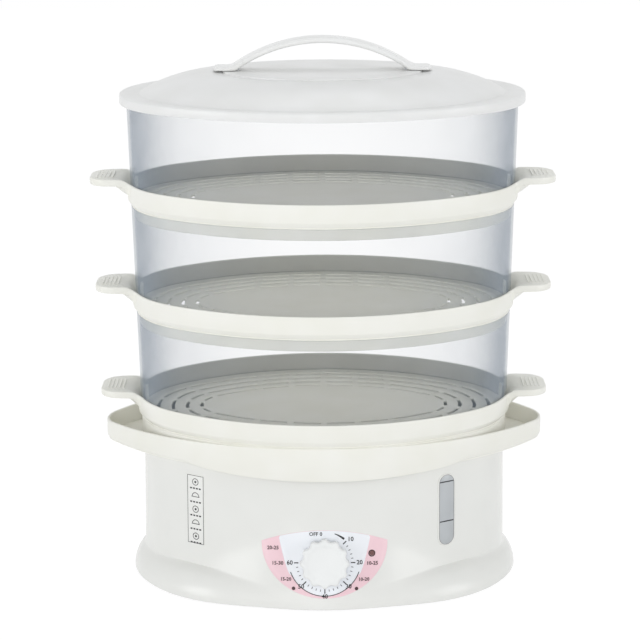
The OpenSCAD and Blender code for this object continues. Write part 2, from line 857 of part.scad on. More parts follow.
module heater_element() {
  first = 90 + (360 - loop_turn) / 2;
  color("#8f8a84")
    translate([0, 0, boss_z]) {
      rotate(first) rotate_extrude(angle = loop_turn) translate([element_r, 0]) circle(d = element_d);
      for (turn = [first, 180 - first])
        rotate(turn) translate([element_r, 0, pin_z - boss_z])
          cylinder(h = boss_z - pin_z, d = element_d - 3);
    }
}

module heater_clamp() {
  color("#a9acaf")
    difference() {
      union() {
        translate([0, 0, clamp_z]) tube(heater_d + 4, 2 * clamp_in_r, boss_z - clamp_z);
        translate([0, 0, clamp_z]) tube(heater_d + 4, heater_hole, tank_z - clamp_z);
      }
      three() translate([clamp_hole_r, 0, clamp_z - 1]) cylinder(h = 8, d = screw_d + 0.4);
    }
}

module clamp_screws() {
  color("#b9bcc0") three() translate([clamp_hole_r, 0, clamp_z]) screw(clamp_screw_l);
}

module thermostat() {
  color("#5f5a55") {
    translate([0, 0, boss_z - 1]) cylinder(h = 1, r = thermostat_r);
    translate([0, 0, boss_z - 8]) cylinder(h = 7.5, d = 12);
    for (side = [-1, 1]) translate([side * 3.5 - 0.4, -2, boss_z - 15]) cube([0.8, 4, 7.5]);
  }
}

module thermal_fuse() {
  color("#c9c2b4") {
    translate([-fuse_l / 2, fuse_y, boss_z - fuse_d / 2 - 0.6]) rotate([0, 90, 0])
      cylinder(h = fuse_l, d = fuse_d);
    translate([-2.5, fuse_y - 2, boss_z - fuse_d / 2 - 0.6]) cube([5, 4, fuse_d / 2 + 0.6]);
  }
}

/* ---- Gauge ---- */
module gauge_window() {
  color("#aab7bd", 0.6)
    on_gauge() {
      translate([0, 0, -gauge_back + 1]) linear_extrude(gauge_back - 0.4)
        slot_2d(gauge_w - 2 * fit, gauge_h - 2 * fit);
      translate([0, 0, -gauge_back]) linear_extrude(1.6)
        slot_2d(gauge_w + 2 * gauge_flange, gauge_h + 2 * gauge_flange);
    }
}

module gauge_gasket() {
  color("#3b3b3d")
    on_gauge() translate([0, 0, -pocket_z]) linear_extrude(gasket_t)
      difference() {
        slot_2d(gauge_w + 2 * gauge_flange - 0.5, gauge_h + 2 * gauge_flange - 0.5);
        slot_2d(gauge_w, gauge_h);
      }
}

module time_plate() {
  color("#eeeeea")
    on_front(table_x, gauge_z) translate([-table_w / 2 + 0.1, -table_h / 2 + 0.1, -0.5])
      cube([table_w - 0.2, table_h - 0.2, 0.6]);
}

/* ---- Fascia and lamp ---- */
lens_d = 3.6;
panel_proud = 0.3;

module dial_plate() {
  color("#f3ccd4")
    difference() {
      panel_layer(-panel_proud, panel_t - 0.05, 0);
      on_bulge() translate([0, 0, -20]) cylinder(h = 40, d = shaft_d + 3);
      on_bulge(lamp_turn, dial_z + lamp_up) translate([0, 0, -10]) cylinder(h = 20, d = lens_d + 2 * fit);
    }
}

module lamp_lens() {
  color("#f2b35c")
    on_bulge(lamp_turn, dial_z + lamp_up) {
      translate([0, 0, -panel_t - 2]) cylinder(h = 1.9, d = lamp_d);
      translate([0, 0, -panel_t - 1]) cylinder(h = panel_t + 1 + panel_proud + 0.4, d = lens_d);
    }
}

module pilot_lamp() {
  color("#e8d9c4")
    on_bulge(lamp_turn, dial_z + lamp_up) translate([0, 0, -16])
      cylinder(h = 14 - panel_t - 0.1, d = lamp_d - fit);
}

/* ---- Knob and timer ---- */
knob_gap = 0.8;
knob_bore = 9;
flute_r = 4.2;
flute_out = 2.4;       // distance of a flute's axis beyond the knob's edge
press = 0.02;          // radial gap of what is pressed on the shaft
case_wall = 1.5;
cap_t = 3;
cap_spigot = 1.5;
gear_t = 2;
wheel_z = -case_z - case_h + 5;
gear_c = gear_m * (main_teeth + pinion_teeth) / 2;
arbor_d = 2;
bell_r = 14;
bell_z = 1;            // gap from the cap to the bell's rim
bell_h = 6.4;
bell_t = 1.2;
bell_post_d = 4;

module timer_knob() {
  color("#f7f7f5")
    on_bulge() translate([0, 0, knob_gap])
      difference() {
        union() {
          cylinder(h = knob_h - 1, d = knob_d);
          translate([0, 0, knob_h - 1]) cylinder(h = 1, d1 = knob_d, d2 = knob_d - 2);
        }
        for (i = [0 : knob_flutes - 1])
          rotate((i + 0.5) * 360 / knob_flutes) translate([knob_d / 2 + flute_out, 0, -1])
            cylinder(h = knob_h + 2, r = flute_r);
        translate([0, 0, -1]) cylinder(h = knob_bore + 1, d = shaft_d + 2 * press);
        translate([-0.7, knob_d / 2 - 9, knob_h - 0.6]) cube([1.4, 10, 2]);
      }
}

module timer_shaft() {
  back = -case_z - case_h - 1.8;
  color("#c9a44a")
    on_bulge() translate([0, 0, back]) cylinder(h = knob_gap + knob_bore - 0.3 - back, d = shaft_d);
}

function tooth(i, teeth, out, in) =
  let (step = 360 / teeth)
  [for (p = [[in, -0.3], [out, -0.12], [out, 0.12], [in, 0.3]])
    p[0] * [cos((i + p[1]) * step), sin((i + p[1]) * step)]];

module gear_2d(teeth) {
  pitch_r = gear_m * teeth / 2;
  polygon([for (i = [0 : teeth - 1]) each tooth(i, teeth, pitch_r + 0.8 * gear_m, pitch_r - 1.15 * gear_m)]);
}

module main_wheel() {
  color("#d0ab55")
    on_bulge() translate([0, 0, wheel_z])
      difference() {
        union() {
          rotate(-90) linear_extrude(gear_t) gear_2d(main_teeth);
          cylinder(h = gear_t + 2.5, d = shaft_d + 5);
        }
        translate([0, 0, -1]) cylinder(h = gear_t + 5, d = shaft_d + 2 * press);
      }
}

module escape_arbor() {
  end = -case_z - case_h - 1.3;
  escape_teeth = 15;
  color("#d8b765")
    on_bulge() translate([0, -gear_c, 0]) {
      translate([0, 0, end]) cylinder(h = -case_z - case_wall + 0.7 - end, d = arbor_d);
      translate([0, 0, wheel_z - 0.7]) rotate(90 + 180 / pinion_teeth) linear_extrude(gear_t + 1.4)
        gear_2d(pinion_teeth);
      translate([0, 0, wheel_z + 5]) linear_extrude(0.8)
        polygon([for (i = [0 : 2 * escape_teeth - 1])
          (i % 2 == 0 ? 2.9 : 4) * [cos(i * 180 / escape_teeth), sin(i * 180 / escape_teeth)]]);
    }
}

module timer_case() {
  color("#d9d4c8")
    on_bulge() translate([0, 0, -case_z - case_h])
      difference() {
        union() {
          tube(case_d, case_d - 2 * case_wall, case_h);
          translate([0, 0, case_h - case_wall]) cylinder(h = case_wall, d = case_d - case_wall);
          for (side = [-1, 1])
            translate([side * case_boss_x, 0, case_h - case_wall - 6]) cylinder(h = 6.5, d = screw_d + 2.6);
        }
        translate([0, 0, -1]) cylinder(h = case_h + 2, d = shaft_d + 2 * shaft_gap);
        translate([0, -gear_c, case_h - case_wall - 1]) cylinder(h = 2, d = arbor_d + 2 * shaft_gap);
        for (side = [-1, 1])
          translate([side * case_boss_x, 0, 0]) cylinder(h = case_h + 1, d = screw_d + 0.1);
      }
}

module timer_cap() {
  inner_d = case_d - 2 * case_wall - 0.1;
  color("#cfcabd")
    on_bulge() translate([0, 0, -case_z - case_h])
      difference() {
        union() {
          translate([0, 0, -cap_t]) cylinder(h = cap_t, d = case_d);
          tube(inner_d, inner_d - 2 * case_wall, cap_spigot);
          translate([0, 0, -cap_t - bell_z - bell_h + bell_t + 0.1])
            cylinder(h = bell_z + bell_h - bell_t - 0.1 + eps, d = bell_post_d + 3);
          translate([0, 0, -cap_t - bell_z - bell_h - 1.6]) {
            cylinder(h = bell_h + 1, d = bell_post_d);
            cylinder(h = 1.5, d = bell_post_d + 3);
          }
        }
        translate([0, 0, -2]) cylinder(h = 3, d = shaft_d + 2 * shaft_gap);
        translate([0, -gear_c, -1.5]) cylinder(h = 3, d = arbor_d + 2 * shaft_gap);
      }
}

module timer_bell() {
  color("#c8ccd0")
    on_bulge() translate([0, 0, -case_z - case_h - cap_t - bell_z])
      rotate_extrude()
        polygon([[bell_post_d / 2 + shaft_gap, -bell_h], [9, -bell_h], [bell_r, -1], [bell_r, 0],
          [bell_r - bell_t, 0], [bell_r - bell_t, -0.7], [8.5, -bell_h + bell_t],
          [bell_post_d / 2 + shaft_gap, -bell_h + bell_t]]);
}

module timer_screws() {
  color("#b9bcc0")
    on_bulge() for (side = [-1, 1])
      translate([side * case_boss_x, 0, -case_z + case_screw_up]) mirror([0, 0, 1]) screw(9);
}

/* ---- Cord inlet and wiring ---- */
gland_flange_d = 20;
block_w = 30;
block_d = 16;
block_h = 13;
block_x = -30;
block_y = 62;
block_pitch = 10;
block_hole = 0.7;      // height of a wire's hole above the block's middle
wire_d = 2.4;
wire_back = 42;        // where the wires turn in front of the terminal block
wire_low = 8.5;
wire_side = -38;
wire_turn = -40;
wire_lead = 8;         // straight end of the timer's wire behind its cap
wire_x = -17;

module cord_gland() {
  color("#55555a")
    on_rear(gland_x, gland_z)
      difference() {
        union() {
          translate([0, 0, 0.05]) cylinder(h = 2.5, d = gland_flange_d);
          translate([0, 0, 2.5]) cylinder(h = 5, d1 = 15, d2 = 11);
          translate([0, 0, -8]) cylinder(h = 9, d = gland_d - fit);
          translate([0, 0, -body_wall - 0.4 - 3]) cylinder(h = 3, d = gland_d + 5);
        }
        translate([0, 0, -20]) cylinder(h = 40, d = cord_d);
      }
}

module cord_clamp() {
  color("#dcdcd6")
    difference() {
      at_clamp() translate([-clamp_w / 2, -clamp_d / 2, gland_z + clamp_gap]) cube([clamp_w, clamp_d, 6.5]);
      clamp_groove();
      at_clamp_bolts() translate([0, 0, gland_z - 1]) cylinder(h = 20, d = screw_d + 0.4);
    }
}

module clamp_bolts() {
  color("#b9bcc0")
    at_clamp_bolts() translate([0, 0, gland_z + clamp_gap + 6.5]) mirror([0, 0, 1]) screw(14, 5.4, 1.8);
}

module terminal_block() {
  color("#e9e6dc")
    translate([block_x, block_y, cover_z + cover_t])
      difference() {
        cube([block_w, block_d, block_h]);
        for (i = [0 : 2])
          translate([block_w / 2 + (i - 1) * block_pitch, 0, 0]) {
            translate([0, -1, block_h / 2 + block_hole]) rotate([-90, 0, 0])
              cylinder(h = block_d + 2, d = wire_d + 1.4);
            for (y = [block_d / 4, block_d * 3 / 4])
              translate([0, y, block_h / 2]) cylinder(h = block_h, d = screw_d);
          }
      }
}

module wire(points) {
  for (i = [0 : len(points) - 2]) {
    way = points[i + 1] - points[i];
    translate(points[i]) rotate([0, acos(way[2] / norm(way)), atan2(way[1], way[0])])
      cylinder(h = norm(way), d = wire_d, $fn = 24);
    if (i > 0) translate(points[i]) rotate([50, 30, 0]) sphere(d = wire_d + 0.3, $fn = 24);
  }
}

// A point on the dial's frame, in the part's own frame.
function dial_point(x, z) = [x, bulge_y - dial_r - z * cos(tilt), dial_z + z * sin(tilt)];

module lead_wires() {
  mid_x = block_x + block_w / 2;
  hole_z = cover_z + cover_t + block_h / 2 + block_hole;
  front = block_y + 4;
  pin_x = element_r * cos(120);
  pin_y = element_r * sin(120);
  cap = -case_z - case_h - cap_t;
  bend = dial_point(0, cap - wire_lead);
  color("#b0413a") {
    for (side = [-1, 1])
      wire([[mid_x + side * block_pitch, front, hole_z], [mid_x + side * block_pitch, wire_back, hole_z],
        [-side * pin_x, pin_y, hole_z], [-side * pin_x, pin_y, pin_z]]);
    wire([[mid_x, front, hole_z], [mid_x, block_y - 3, hole_z], [mid_x, wire_back + 6, wire_low],
      [wire_side, 0, wire_low], [wire_side, wire_turn, hole_z], [wire_x, bend[1], bend[2]],
      dial_point(wire_x, cap)]);
  }
}

lid_shell();
lid_handle();
handle_screws();
top_bowl();
top_tray();
middle_bowl();
middle_tray();
bottom_bowl();
bottom_tray();
drip_tray();
steam_sleeve();
base_housing();
base_cover();
cover_screws();
rubber_feet();
water_tank();
heater_plate();
heater_element();
heater_gasket();
heater_clamp();
clamp_screws();
thermostat();
thermal_fuse();
gauge_window();
gauge_gasket();
dial_plate();
timer_knob();
timer_shaft();
main_wheel();
escape_arbor();
timer_case();
timer_cap();
timer_bell();
timer_screws();
lamp_lens();
pilot_lamp();
time_plate();
cord_gland();
cord_clamp();
clamp_bolts();
terminal_block();
lead_wires();
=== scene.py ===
from math import acos, asin, atan, atan2, copysign, cos, hypot, pi, radians, sin, sqrt, tan

import bmesh
import bpy
from mathutils import Matrix, Vector


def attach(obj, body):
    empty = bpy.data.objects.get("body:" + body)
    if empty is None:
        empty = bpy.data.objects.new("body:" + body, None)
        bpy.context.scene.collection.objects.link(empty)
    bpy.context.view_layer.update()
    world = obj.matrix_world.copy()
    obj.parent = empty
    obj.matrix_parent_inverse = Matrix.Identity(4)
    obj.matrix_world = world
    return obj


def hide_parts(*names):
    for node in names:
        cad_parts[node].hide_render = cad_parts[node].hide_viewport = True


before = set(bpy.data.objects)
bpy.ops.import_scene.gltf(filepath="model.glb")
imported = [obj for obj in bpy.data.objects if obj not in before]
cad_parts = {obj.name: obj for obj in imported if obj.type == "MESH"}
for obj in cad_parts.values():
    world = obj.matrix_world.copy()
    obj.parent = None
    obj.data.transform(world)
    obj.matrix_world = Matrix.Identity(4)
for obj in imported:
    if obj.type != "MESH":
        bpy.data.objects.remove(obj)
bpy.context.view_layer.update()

mm = 0.001
scene = bpy.context.scene

# Ovals of four arcs, as in the solids: end centre, side centre, end radius, side radius, meeting angle
trayOval = (65.1, 86.8, 79.6, 188.1, acos(0.6))
collarOval = (139.6, 104.7, 26.1, 200.6, acos(0.8))
bodyOval = (73.5, 98, 63.5, 186, acos(0.6))
footOval = (51.8, 177.6, 95.2, 280.2, acos(0.28))
chimneyOval = (28, 96, 30, 130, acos(0.28))

stack = {"seat": 122.3, "pitch": 81, "step": 1.75, "floorRise": 5}   # heights of the tiers, in mm


def tierIn(tier):
    return -(2 - tier) * stack["step"]


def tierZ(tier):
    return stack["seat"] + tier * stack["pitch"]


def ovalPoint(oval, angle, out=0):
    endCentre, sideCentre, endRadius, sideRadius, turn = oval
    c, s = cos(angle), sin(angle)
    if abs(c) >= cos(turn) - 1e-9:
        return copysign(endCentre, c) + (endRadius + out) * c, (endRadius + out) * s
    return (sideRadius + out) * c, (sideRadius + out) * s - copysign(sideCentre, s)


def ovalReach(oval, angle, out=0):
    # distance from the middle to the oval along a direction
    endCentre, sideCentre, endRadius, sideRadius, turn = oval
    ux, uy = cos(angle), sin(angle)
    for cx, cy, radius, isEnd in ((copysign(endCentre, ux), 0, endRadius + out, True),
            (0, -copysign(sideCentre, uy), sideRadius + out, False)):
        along = cx * ux + cy * uy
        reach = along + sqrt(max(radius * radius - cx * cx - cy * cy + along * along, 0))
        if (copysign(1, ux) * (reach * ux - cx) / radius >= cos(turn)) == isEnd:
            return reach
    return reach


def ovalAngles(oval, endSteps=36, sideSteps=44):
    turn = oval[4]
    angles = []
    for start, sweep, steps in ((-turn, 2 * turn, endSteps), (turn, pi - 2 * turn, sideSteps)):
        for half in (0, pi):
            angles += [start + half + sweep * i / steps for i in range(steps)]
    return sorted((a + turn) % (2 * pi) - turn for a in angles)


def smoothStep(low, high, value):
    t = min(max((value - low) / (high - low), 0), 1)
    return t * t * (3 - 2 * t)


def softMax(a, b, blend):
    # the larger value, with a rounded change from one to the other
    h = max(blend - abs(a - b), 0) / blend
    return max(a, b) + h * h * blend / 4


def disc(x, y, radius, steps=20):
    turns = [2 * pi * i / steps for i in range(steps)]
    return [(x + radius * cos(a), y + radius * sin(a)) for a in turns]


def slotOutline(width, height, steps=14):
    points = []
    for side, start in ((1, 0), (-1, pi)):
        for i in range(steps + 1):
            a = pi * i / steps + start
            points.append((width / 2 * cos(a), side * (height - width) / 2 + width / 2 * sin(a)))
    return points


def roundCorners(points, radii, steps=4):
    # a closed outline with its corners rounded, by one radius for each
    result = []
    for i, (point, radius) in enumerate(zip(points, radii)):
        corner = Vector(point)
        back = Vector(points[i - 1]) - corner
        ahead = Vector(points[(i + 1) % len(points)]) - corner
        if not radius:
            result.append(tuple(corner))
            continue
        cut = min(radius / tan(back.angle(ahead) / 2), 0.46 * back.length, 0.46 * ahead.length)
        first, last = corner + back.normalized() * cut, corner + ahead.normalized() * cut
        for k in range(steps + 1):
            t = k / steps
            result.append(tuple(first * (1 - t) ** 2 + corner * 2 * t * (1 - t) + last * t * t))
    return result


def newObject(name, data):
    piece = bpy.data.objects.new(name, data)
    scene.collection.objects.link(piece)
    return piece


def meshObject(name, points, edges, faces):
    # a raw mesh from points in mm
    mesh = bpy.data.meshes.new(name)
    mesh.from_pydata([(x * mm, y * mm, z * mm) for x, y, z in points], edges, faces)
    return newObject(name, mesh)


def cleanMesh(piece, sharp=32):
    # merges doubles, points the faces outwards and shades smooth up to an angle
    bm = bmesh.new()
    bm.from_mesh(piece.data)
    bmesh.ops.remove_doubles(bm, verts=bm.verts, dist=0.000004)
    bmesh.ops.dissolve_degenerate(bm, edges=bm.edges, dist=0.000002)
    bmesh.ops.recalc_face_normals(bm, faces=bm.faces)
    for face in bm.faces:
        face.smooth = True
    bm.to_mesh(piece.data)
    bm.free()
    piece.data.set_sharp_from_angle(angle=radians(sharp))
    return piece


def addMesh(name, points, faces, sharp=32):
    return cleanMesh(meshObject(name, points, [], faces), sharp)


def loft(sections, ring=True, closed=True):
    # skins a row of sections that have the same number of points
    count = len(sections[0])
    points = [p for section in sections for p in section]
    faces = []
    for i in range(len(sections) if ring else len(sections) - 1):
        j = (i + 1) % len(sections)
        for k in range(count if closed else count - 1):
            m = (k + 1) % count
            faces.append((i * count + k, j * count + k, j * count + m, i * count + m))
    if not ring:
        faces += [tuple(range(count)), tuple(range(len(points) - count, len(points)))]
    return points, faces


def hoop(name, oval, start, end, low, high, radii):
    # a ring of rectangular section along an oval, between two distances out from it
    section = roundCorners([(start, low), (end, low), (end, high), (start, high)], radii)
    return addMesh(name, *loft([[(*ovalPoint(oval, a, out), z) for out, z in section]
        for a in ovalAngles(oval)]))


def joinPieces(name, pieces, sharp=32):
    bm = bmesh.new()
    for piece in pieces:
        bm.from_mesh(piece.data)
    mesh = bpy.data.meshes.new(name)
    bm.to_mesh(mesh)
    bm.free()
    for piece in pieces:
        bpy.data.objects.remove(piece)
    mesh.set_sharp_from_angle(angle=radians(sharp))
    return newObject(name, mesh)


def plainMesh(piece):
    # the evaluated shape as a plain mesh, with the modifiers gone
    bpy.context.view_layer.update()
    evaluated = piece.evaluated_get(bpy.context.evaluated_depsgraph_get())
    mesh = bpy.data.meshes.new_from_object(evaluated)
    mesh.name = piece.name
    piece.modifiers.clear()
    piece.data = mesh
    return piece


def cutAway(piece, cutter, sharp):
    cut = piece.modifiers.new("cut", "BOOLEAN")
    cut.operation = "DIFFERENCE"
    cut.solver = "EXACT"
    cut.object = cutter
    plainMesh(piece)
    bpy.data.objects.remove(cutter)
    return cleanMesh(piece, sharp)


def boxMesh(name, low, high, bevel, place=Matrix()):
    # a box between two corners in mm, with rounded edges
    bm = bmesh.new()
    bmesh.ops.create_cube(bm, size=1)
    for vert in bm.verts:
        vert.co = Vector([vert.co[i] * (high[i] - low[i]) + (high[i] + low[i]) / 2 for i in range(3)])
    bmesh.ops.bevel(bm, geom=bm.edges[:], offset=bevel, segments=2, affect="EDGES", profile=0.6)
    bm.transform(place)
    bmesh.ops.scale(bm, vec=(mm, mm, mm), verts=bm.verts)
    mesh = bpy.data.meshes.new(name)
    bm.to_mesh(mesh)
    bm.free()
    return cleanMesh(newObject(name, mesh))


def prism(name, outline, low, high, place, edge=0):
    # an outline in a plane, raised from low to high in mm, with a rounded upper edge
    middle = Vector([sum(p[i] for p in outline) / len(outline) for i in (0, 1)])
    rings = []
    for inset, z in ((0, low), (0, high - edge), (edge * 0.3, high - edge * 0.3), (edge, high)):
        ring = []
        for p in outline:
            away = Vector(p) - middle
            q = middle + away * max(1 - inset / away.length, 0)
            ring.append(place @ Vector((q.x, q.y, z)))
        rings.append(ring)
    return addMesh(name, *loft(rings, ring=False))


def addNode(tree, kind, inputs=None, **settings):
    # adds a node with its settings, and links or sets its inputs; a node stands for its first output
    node = tree.nodes.new(kind)
    for key, value in settings.items():
        setattr(node, key, value)
    for key, value in (inputs or {}).items():
        if isinstance(value, bpy.types.Node):
            value = value.outputs[0]
        if isinstance(value, bpy.types.NodeSocket):
            tree.links.new(value, node.inputs[key])
        else:
            node.inputs[key].default_value = value
    return node


def linear(hexColour):
    # an sRGB hex value as linear numbers with alpha
    values = [int(hexColour[i:i + 2], 16) / 255 for i in (1, 3, 5)]
    return [v / 12.92 if v <= 0.04045 else ((v + 0.055) / 1.055) ** 2.4 for v in values] + [1]


print("stage: materials")
finishes = {}
reliefDepth = 0.0002


def startMaterial(name):
    material = bpy.data.materials.new(name)
    material.use_nodes = True
    tree = material.node_tree
    tree.nodes.clear()
    finishes[name] = material
    return tree, addNode(tree, "ShaderNodeTexCoord").outputs["Object"]


def shadeSurface(tree, colour, shade, tone, wear, skin, bump, looks):
    # two close colours that follow one pattern, over a fine relief that follows another
    mix = addNode(tree, "ShaderNodeMix", {"Factor": tone, "A": linear(colour), "B": linear(shade)},
        data_type="RGBA")
    relief = addNode(tree, "ShaderNodeBump", {
        "Strength": bump, "Distance": reliefDepth, "Height": skin})
    shader = addNode(tree, "ShaderNodeBsdfPrincipled", {
        "Base Color": mix.outputs["Result"], "Roughness": wear, "Normal": relief, **looks})
    addNode(tree, "ShaderNodeOutputMaterial", {"Surface": shader})


def mouldedPlastic(name, colour, shade, rough, gloss=0.5, grain=0.9, bump=0.03, flow=26):
    # an even colour with faint flow clouds, and a fine skin that softens the gloss; both sized in mm
    tree, place = startMaterial(name)
    cloud = addNode(tree, "ShaderNodeTexNoise", {"Vector": place, "Scale": 1000 / flow, "Detail": 1.5})
    skin = addNode(tree, "ShaderNodeTexNoise", {"Vector": place, "Scale": 1000 / grain, "Detail": 2})
    tone, wear = [addNode(tree, "ShaderNodeMapRange", {
        "Value": cloud, "From Min": 0.3, "From Max": 0.7, "To Min": low, "To Max": high})
        for low, high in ((0, 1), (rough - 0.02, rough + 0.03))]
    shadeSurface(tree, colour, shade, tone, wear, skin, bump, {"IOR": 1.5, "Specular IOR Level": gloss})


def metalSurface(name, colour, shade, rough, stretch=(1, 1, 1), grain=0.5, bump=0.05):
    # plated, cast or turned metal: the grain and the roughness follow one noise, sized in mm
    tree, place = startMaterial(name)
    turned = addNode(tree, "ShaderNodeMapping", {"Vector": place, "Scale": stretch})
    noise = addNode(tree, "ShaderNodeTexNoise", {"Vector": turned, "Scale": 1000 / grain, "Detail": 3})
    wear = addNode(tree, "ShaderNodeMapRange", {"Value": noise, "To Min": rough - 0.08,
        "To Max": rough + 0.1})
    shadeSurface(tree, colour, shade, noise, wear, noise, bump, {"Metallic": 1})


def clearPlastic(name, colour, facing, grazing, rough):
    # clear moulding: almost open straight on, denser where the eye looks along the wall
    tree, place = startMaterial(name)
    haze = addNode(tree, "ShaderNodeTexNoise", {"Vector": place, "Scale": 1000 / 30, "Detail": 2})
    edge = addNode(tree, "ShaderNodeLayerWeight", {"Blend": 0.5})
    steep = addNode(tree, "ShaderNodeMath", {0: edge.outputs["Facing"], 1: 1.4}, operation="POWER")
    veil = addNode(tree, "ShaderNodeMapRange", {"Value": steep, "To Min": facing, "To Max": grazing})
    mottle = addNode(tree, "ShaderNodeMapRange", {"Value": haze, "From Min": 0.3,
        "From Max": 0.7, "To Min": 0.9, "To Max": 1.1})
    dense = addNode(tree, "ShaderNodeMath", {0: veil, 1: mottle}, operation="MULTIPLY")
    wear = addNode(tree, "ShaderNodeMapRange", {"Value": haze, "To Min": rough, "To Max": rough + 0.05})
    shader = addNode(tree, "ShaderNodeBsdfPrincipled", {
        "Base Color": linear(colour), "Alpha": dense, "Roughness": wear, "IOR": 1.58})
    addNode(tree, "ShaderNodeOutputMaterial", {"Surface": shader})


# polypropylene, injection moulded in a polished tool: wide soft highlights, on the handle a little
# sharper from hands, and on the cream trays duller
mouldedPlastic("lidPolypropylene", "#ededec", "#e9e9e7", 0.34)
mouldedPlastic("handlePolypropylene", "#f1f1f0", "#ededeb", 0.28)
mouldedPlastic("trayPolypropylene", "#f4f3ec", "#f1f0e7", 0.38)
# ABS, injection moulded and polished: the glossiest white, with clear reflections of the lamps
mouldedPlastic("baseAbs", "#edede9", "#ebebe7", 0.24)
mouldedPlastic("knobAbs", "#f0f1f0", "#ecedec", 0.3)
# polypropylene from a spark-eroded tool: an even, dull skin
mouldedPlastic("innerPolypropylene", "#d9d8d2", "#d2d1ca", 0.5, grain=0.6, bump=0.12)
# nylon, injection moulded: waxy and slightly rough
mouldedPlastic("nylonNatural", "#ddd7c6", "#d4cdb9", 0.45, grain=0.7, bump=0.1)
mouldedPlastic("nylonGrey", "#55555a", "#4b4b50", 0.45, grain=0.7, bump=0.1)
# phenolic resin, pressed from powder: brown with faint flakes
mouldedPlastic("phenolicBrown", "#4a3b34", "#3c2f29", 0.4, grain=0.5, bump=0.12, flow=3)
# rubber and silicone, pressed in matt tools: no sharp highlight
mouldedPlastic("rubberGrey", "#4a4a4c", "#414143", 0.75, gloss=0.3, grain=0.5, bump=0.2)
mouldedPlastic("siliconeRed", "#b0604a", "#a4563f", 0.6, gloss=0.3, grain=0.6, bump=0.1)
# silicone sleeving, extruded: smooth and faintly shiny
mouldedPlastic("wireSilicone", "#9a3a32", "#8e342c", 0.42, grain=0.6, bump=0.05)
# steatite ceramic, glazed and fired: glassy over slight waves
mouldedPlastic("ceramicGlazed", "#ddd8cb", "#d2ccbd", 0.25, grain=1.2, bump=0.08)
# polycarbonate film, screen printed: flat colour with a soft sheen, the inks duller; the dark and the
# black are also used as painted shade, in the gap round the gauge and under the dial's white field
mouldedPlastic("printWhite", "#f5f7fb", "#f2f5fa", 0.3, grain=0.5, bump=0.02)
mouldedPlastic("printPink", "#f7d5dc", "#f5d0d8", 0.32, grain=0.5, bump=0.02)
mouldedPlastic("printDarkAndShade", "#4a3134", "#3f292c", 0.45, grain=0.5, bump=0.02)
mouldedPlastic("printBlackAndShadow", "#232326", "#1c1c1f", 0.45, grain=0.5, bump=0.02)
mouldedPlastic("labelWhite", "#efefec", "#ecece8", 0.35, grain=0.5, bump=0.02)
# polycarbonate, blow moulded: clear and faintly blue-grey, darker towards the sides
clearPlastic("clearPolycarbonate", "#95a2b1", 0.02, 0.62, 0.06)
# polystyrene, injection moulded: milky, so the dark behind it shows as grey
clearPlastic("gaugeStyrene", "#d3d7da", 0.7, 0.9, 0.12)
# acrylic, tinted and moulded: dark amber, nearly closed while the lamp is off
clearPlastic("lensAmber", "#6b3a30", 0.8, 0.9, 0.15)
# soda glass, blown: thin with bright edges
clearPlastic("lampGlass", "#e0cfb8", 0.4, 0.8, 0.05)
# zinc plate on steel, barrel plated: pale and slightly blue, fine grain
metalSurface("zincPlate", "#c3c6ca", "#aeb2b7", 0.32)
# aluminium, die cast and shot blasted: grey with a coarse sparkle
metalSurface("castAluminium", "#b9bbbd", "#a7aaad", 0.45, grain=0.8, bump=0.25)
# steel tube, drawn and heat stained: brownish and dull
metalSurface("heaterSheath", "#8a827a", "#6f6862", 0.5, grain=1.5)
# steel strip, rolled and pressed: fine lines along it
metalSurface("pressedSteel", "#b3b6b9", "#a2a5a9", 0.35, stretch=(0.1, 1, 1))
# brass, turned: yellow and fairly bright
metalSurface("brassTurned", "#d8b56a", "#c8a255", 0.3)
# steel bell, nickel plated: close to a mirror
metalSurface("bellNickel", "#c9ccd0", "#bcbfc4", 0.18, bump=0.02)

nodeFinish = {
    "lidPolypropylene": ["lid_shell"], "handlePolypropylene": ["lid_handle"],
    "trayPolypropylene": ["top_tray", "middle_tray", "bottom_tray", "drip_tray"],
    "clearPolycarbonate": ["top_bowl", "middle_bowl", "bottom_bowl"],
    "baseAbs": ["base_housing"],
    "innerPolypropylene": ["base_cover", "water_tank", "steam_sleeve", "cord_clamp"],
    "zincPlate": ["handle_screws", "cover_screws", "clamp_screws", "timer_screws", "clamp_bolts"],
    "rubberGrey": ["rubber_feet", "gauge_gasket"],
    "castAluminium": ["heater_plate"], "heaterSheath": ["heater_element"],
    "siliconeRed": ["heater_gasket"], "pressedSteel": ["heater_clamp"],
    "phenolicBrown": ["thermostat"], "ceramicGlazed": ["thermal_fuse"],
    "gaugeStyrene": ["gauge_window"], "printPink": ["dial_plate"], "knobAbs": ["timer_knob"],
    "brassTurned": ["timer_shaft", "main_wheel", "escape_arbor"],
    "nylonNatural": ["timer_case", "timer_cap", "terminal_block"], "bellNickel": ["timer_bell"],
    "lensAmber": ["lamp_lens"], "lampGlass": ["pilot_lamp"], "labelWhite": ["time_plate"],
    "nylonGrey": ["cord_gland"], "wireSilicone": ["lead_wires"],
}
for finish, names in nodeFinish.items():
    for name in names:
        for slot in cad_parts[name].material_slots:
            slot.material = finishes[finish]


def placePiece(piece, finish, body, node, replace=True):
    piece.data.materials.clear()
    piece.data.materials.append(finishes[finish])
    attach(piece, body)
    if replace:
        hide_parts(node)
    return piece


def startTree(name, *labels):
    # a geometry tree with its geometry sockets and one named input for each size
    tree = bpy.data.node_groups.new(name, "GeometryNodeTree")
    for way in ("INPUT", "OUTPUT"):
        tree.interface.new_socket("Geometry", in_out=way, socket_type="NodeSocketGeometry")
    for label in labels:
        kind = "NodeSocketInt" if label == "Count" else "NodeSocketFloat"
        tree.interface.new_socket(label, in_out="INPUT", socket_type=kind)
    return tree, addNode(tree, "NodeGroupInput").outputs


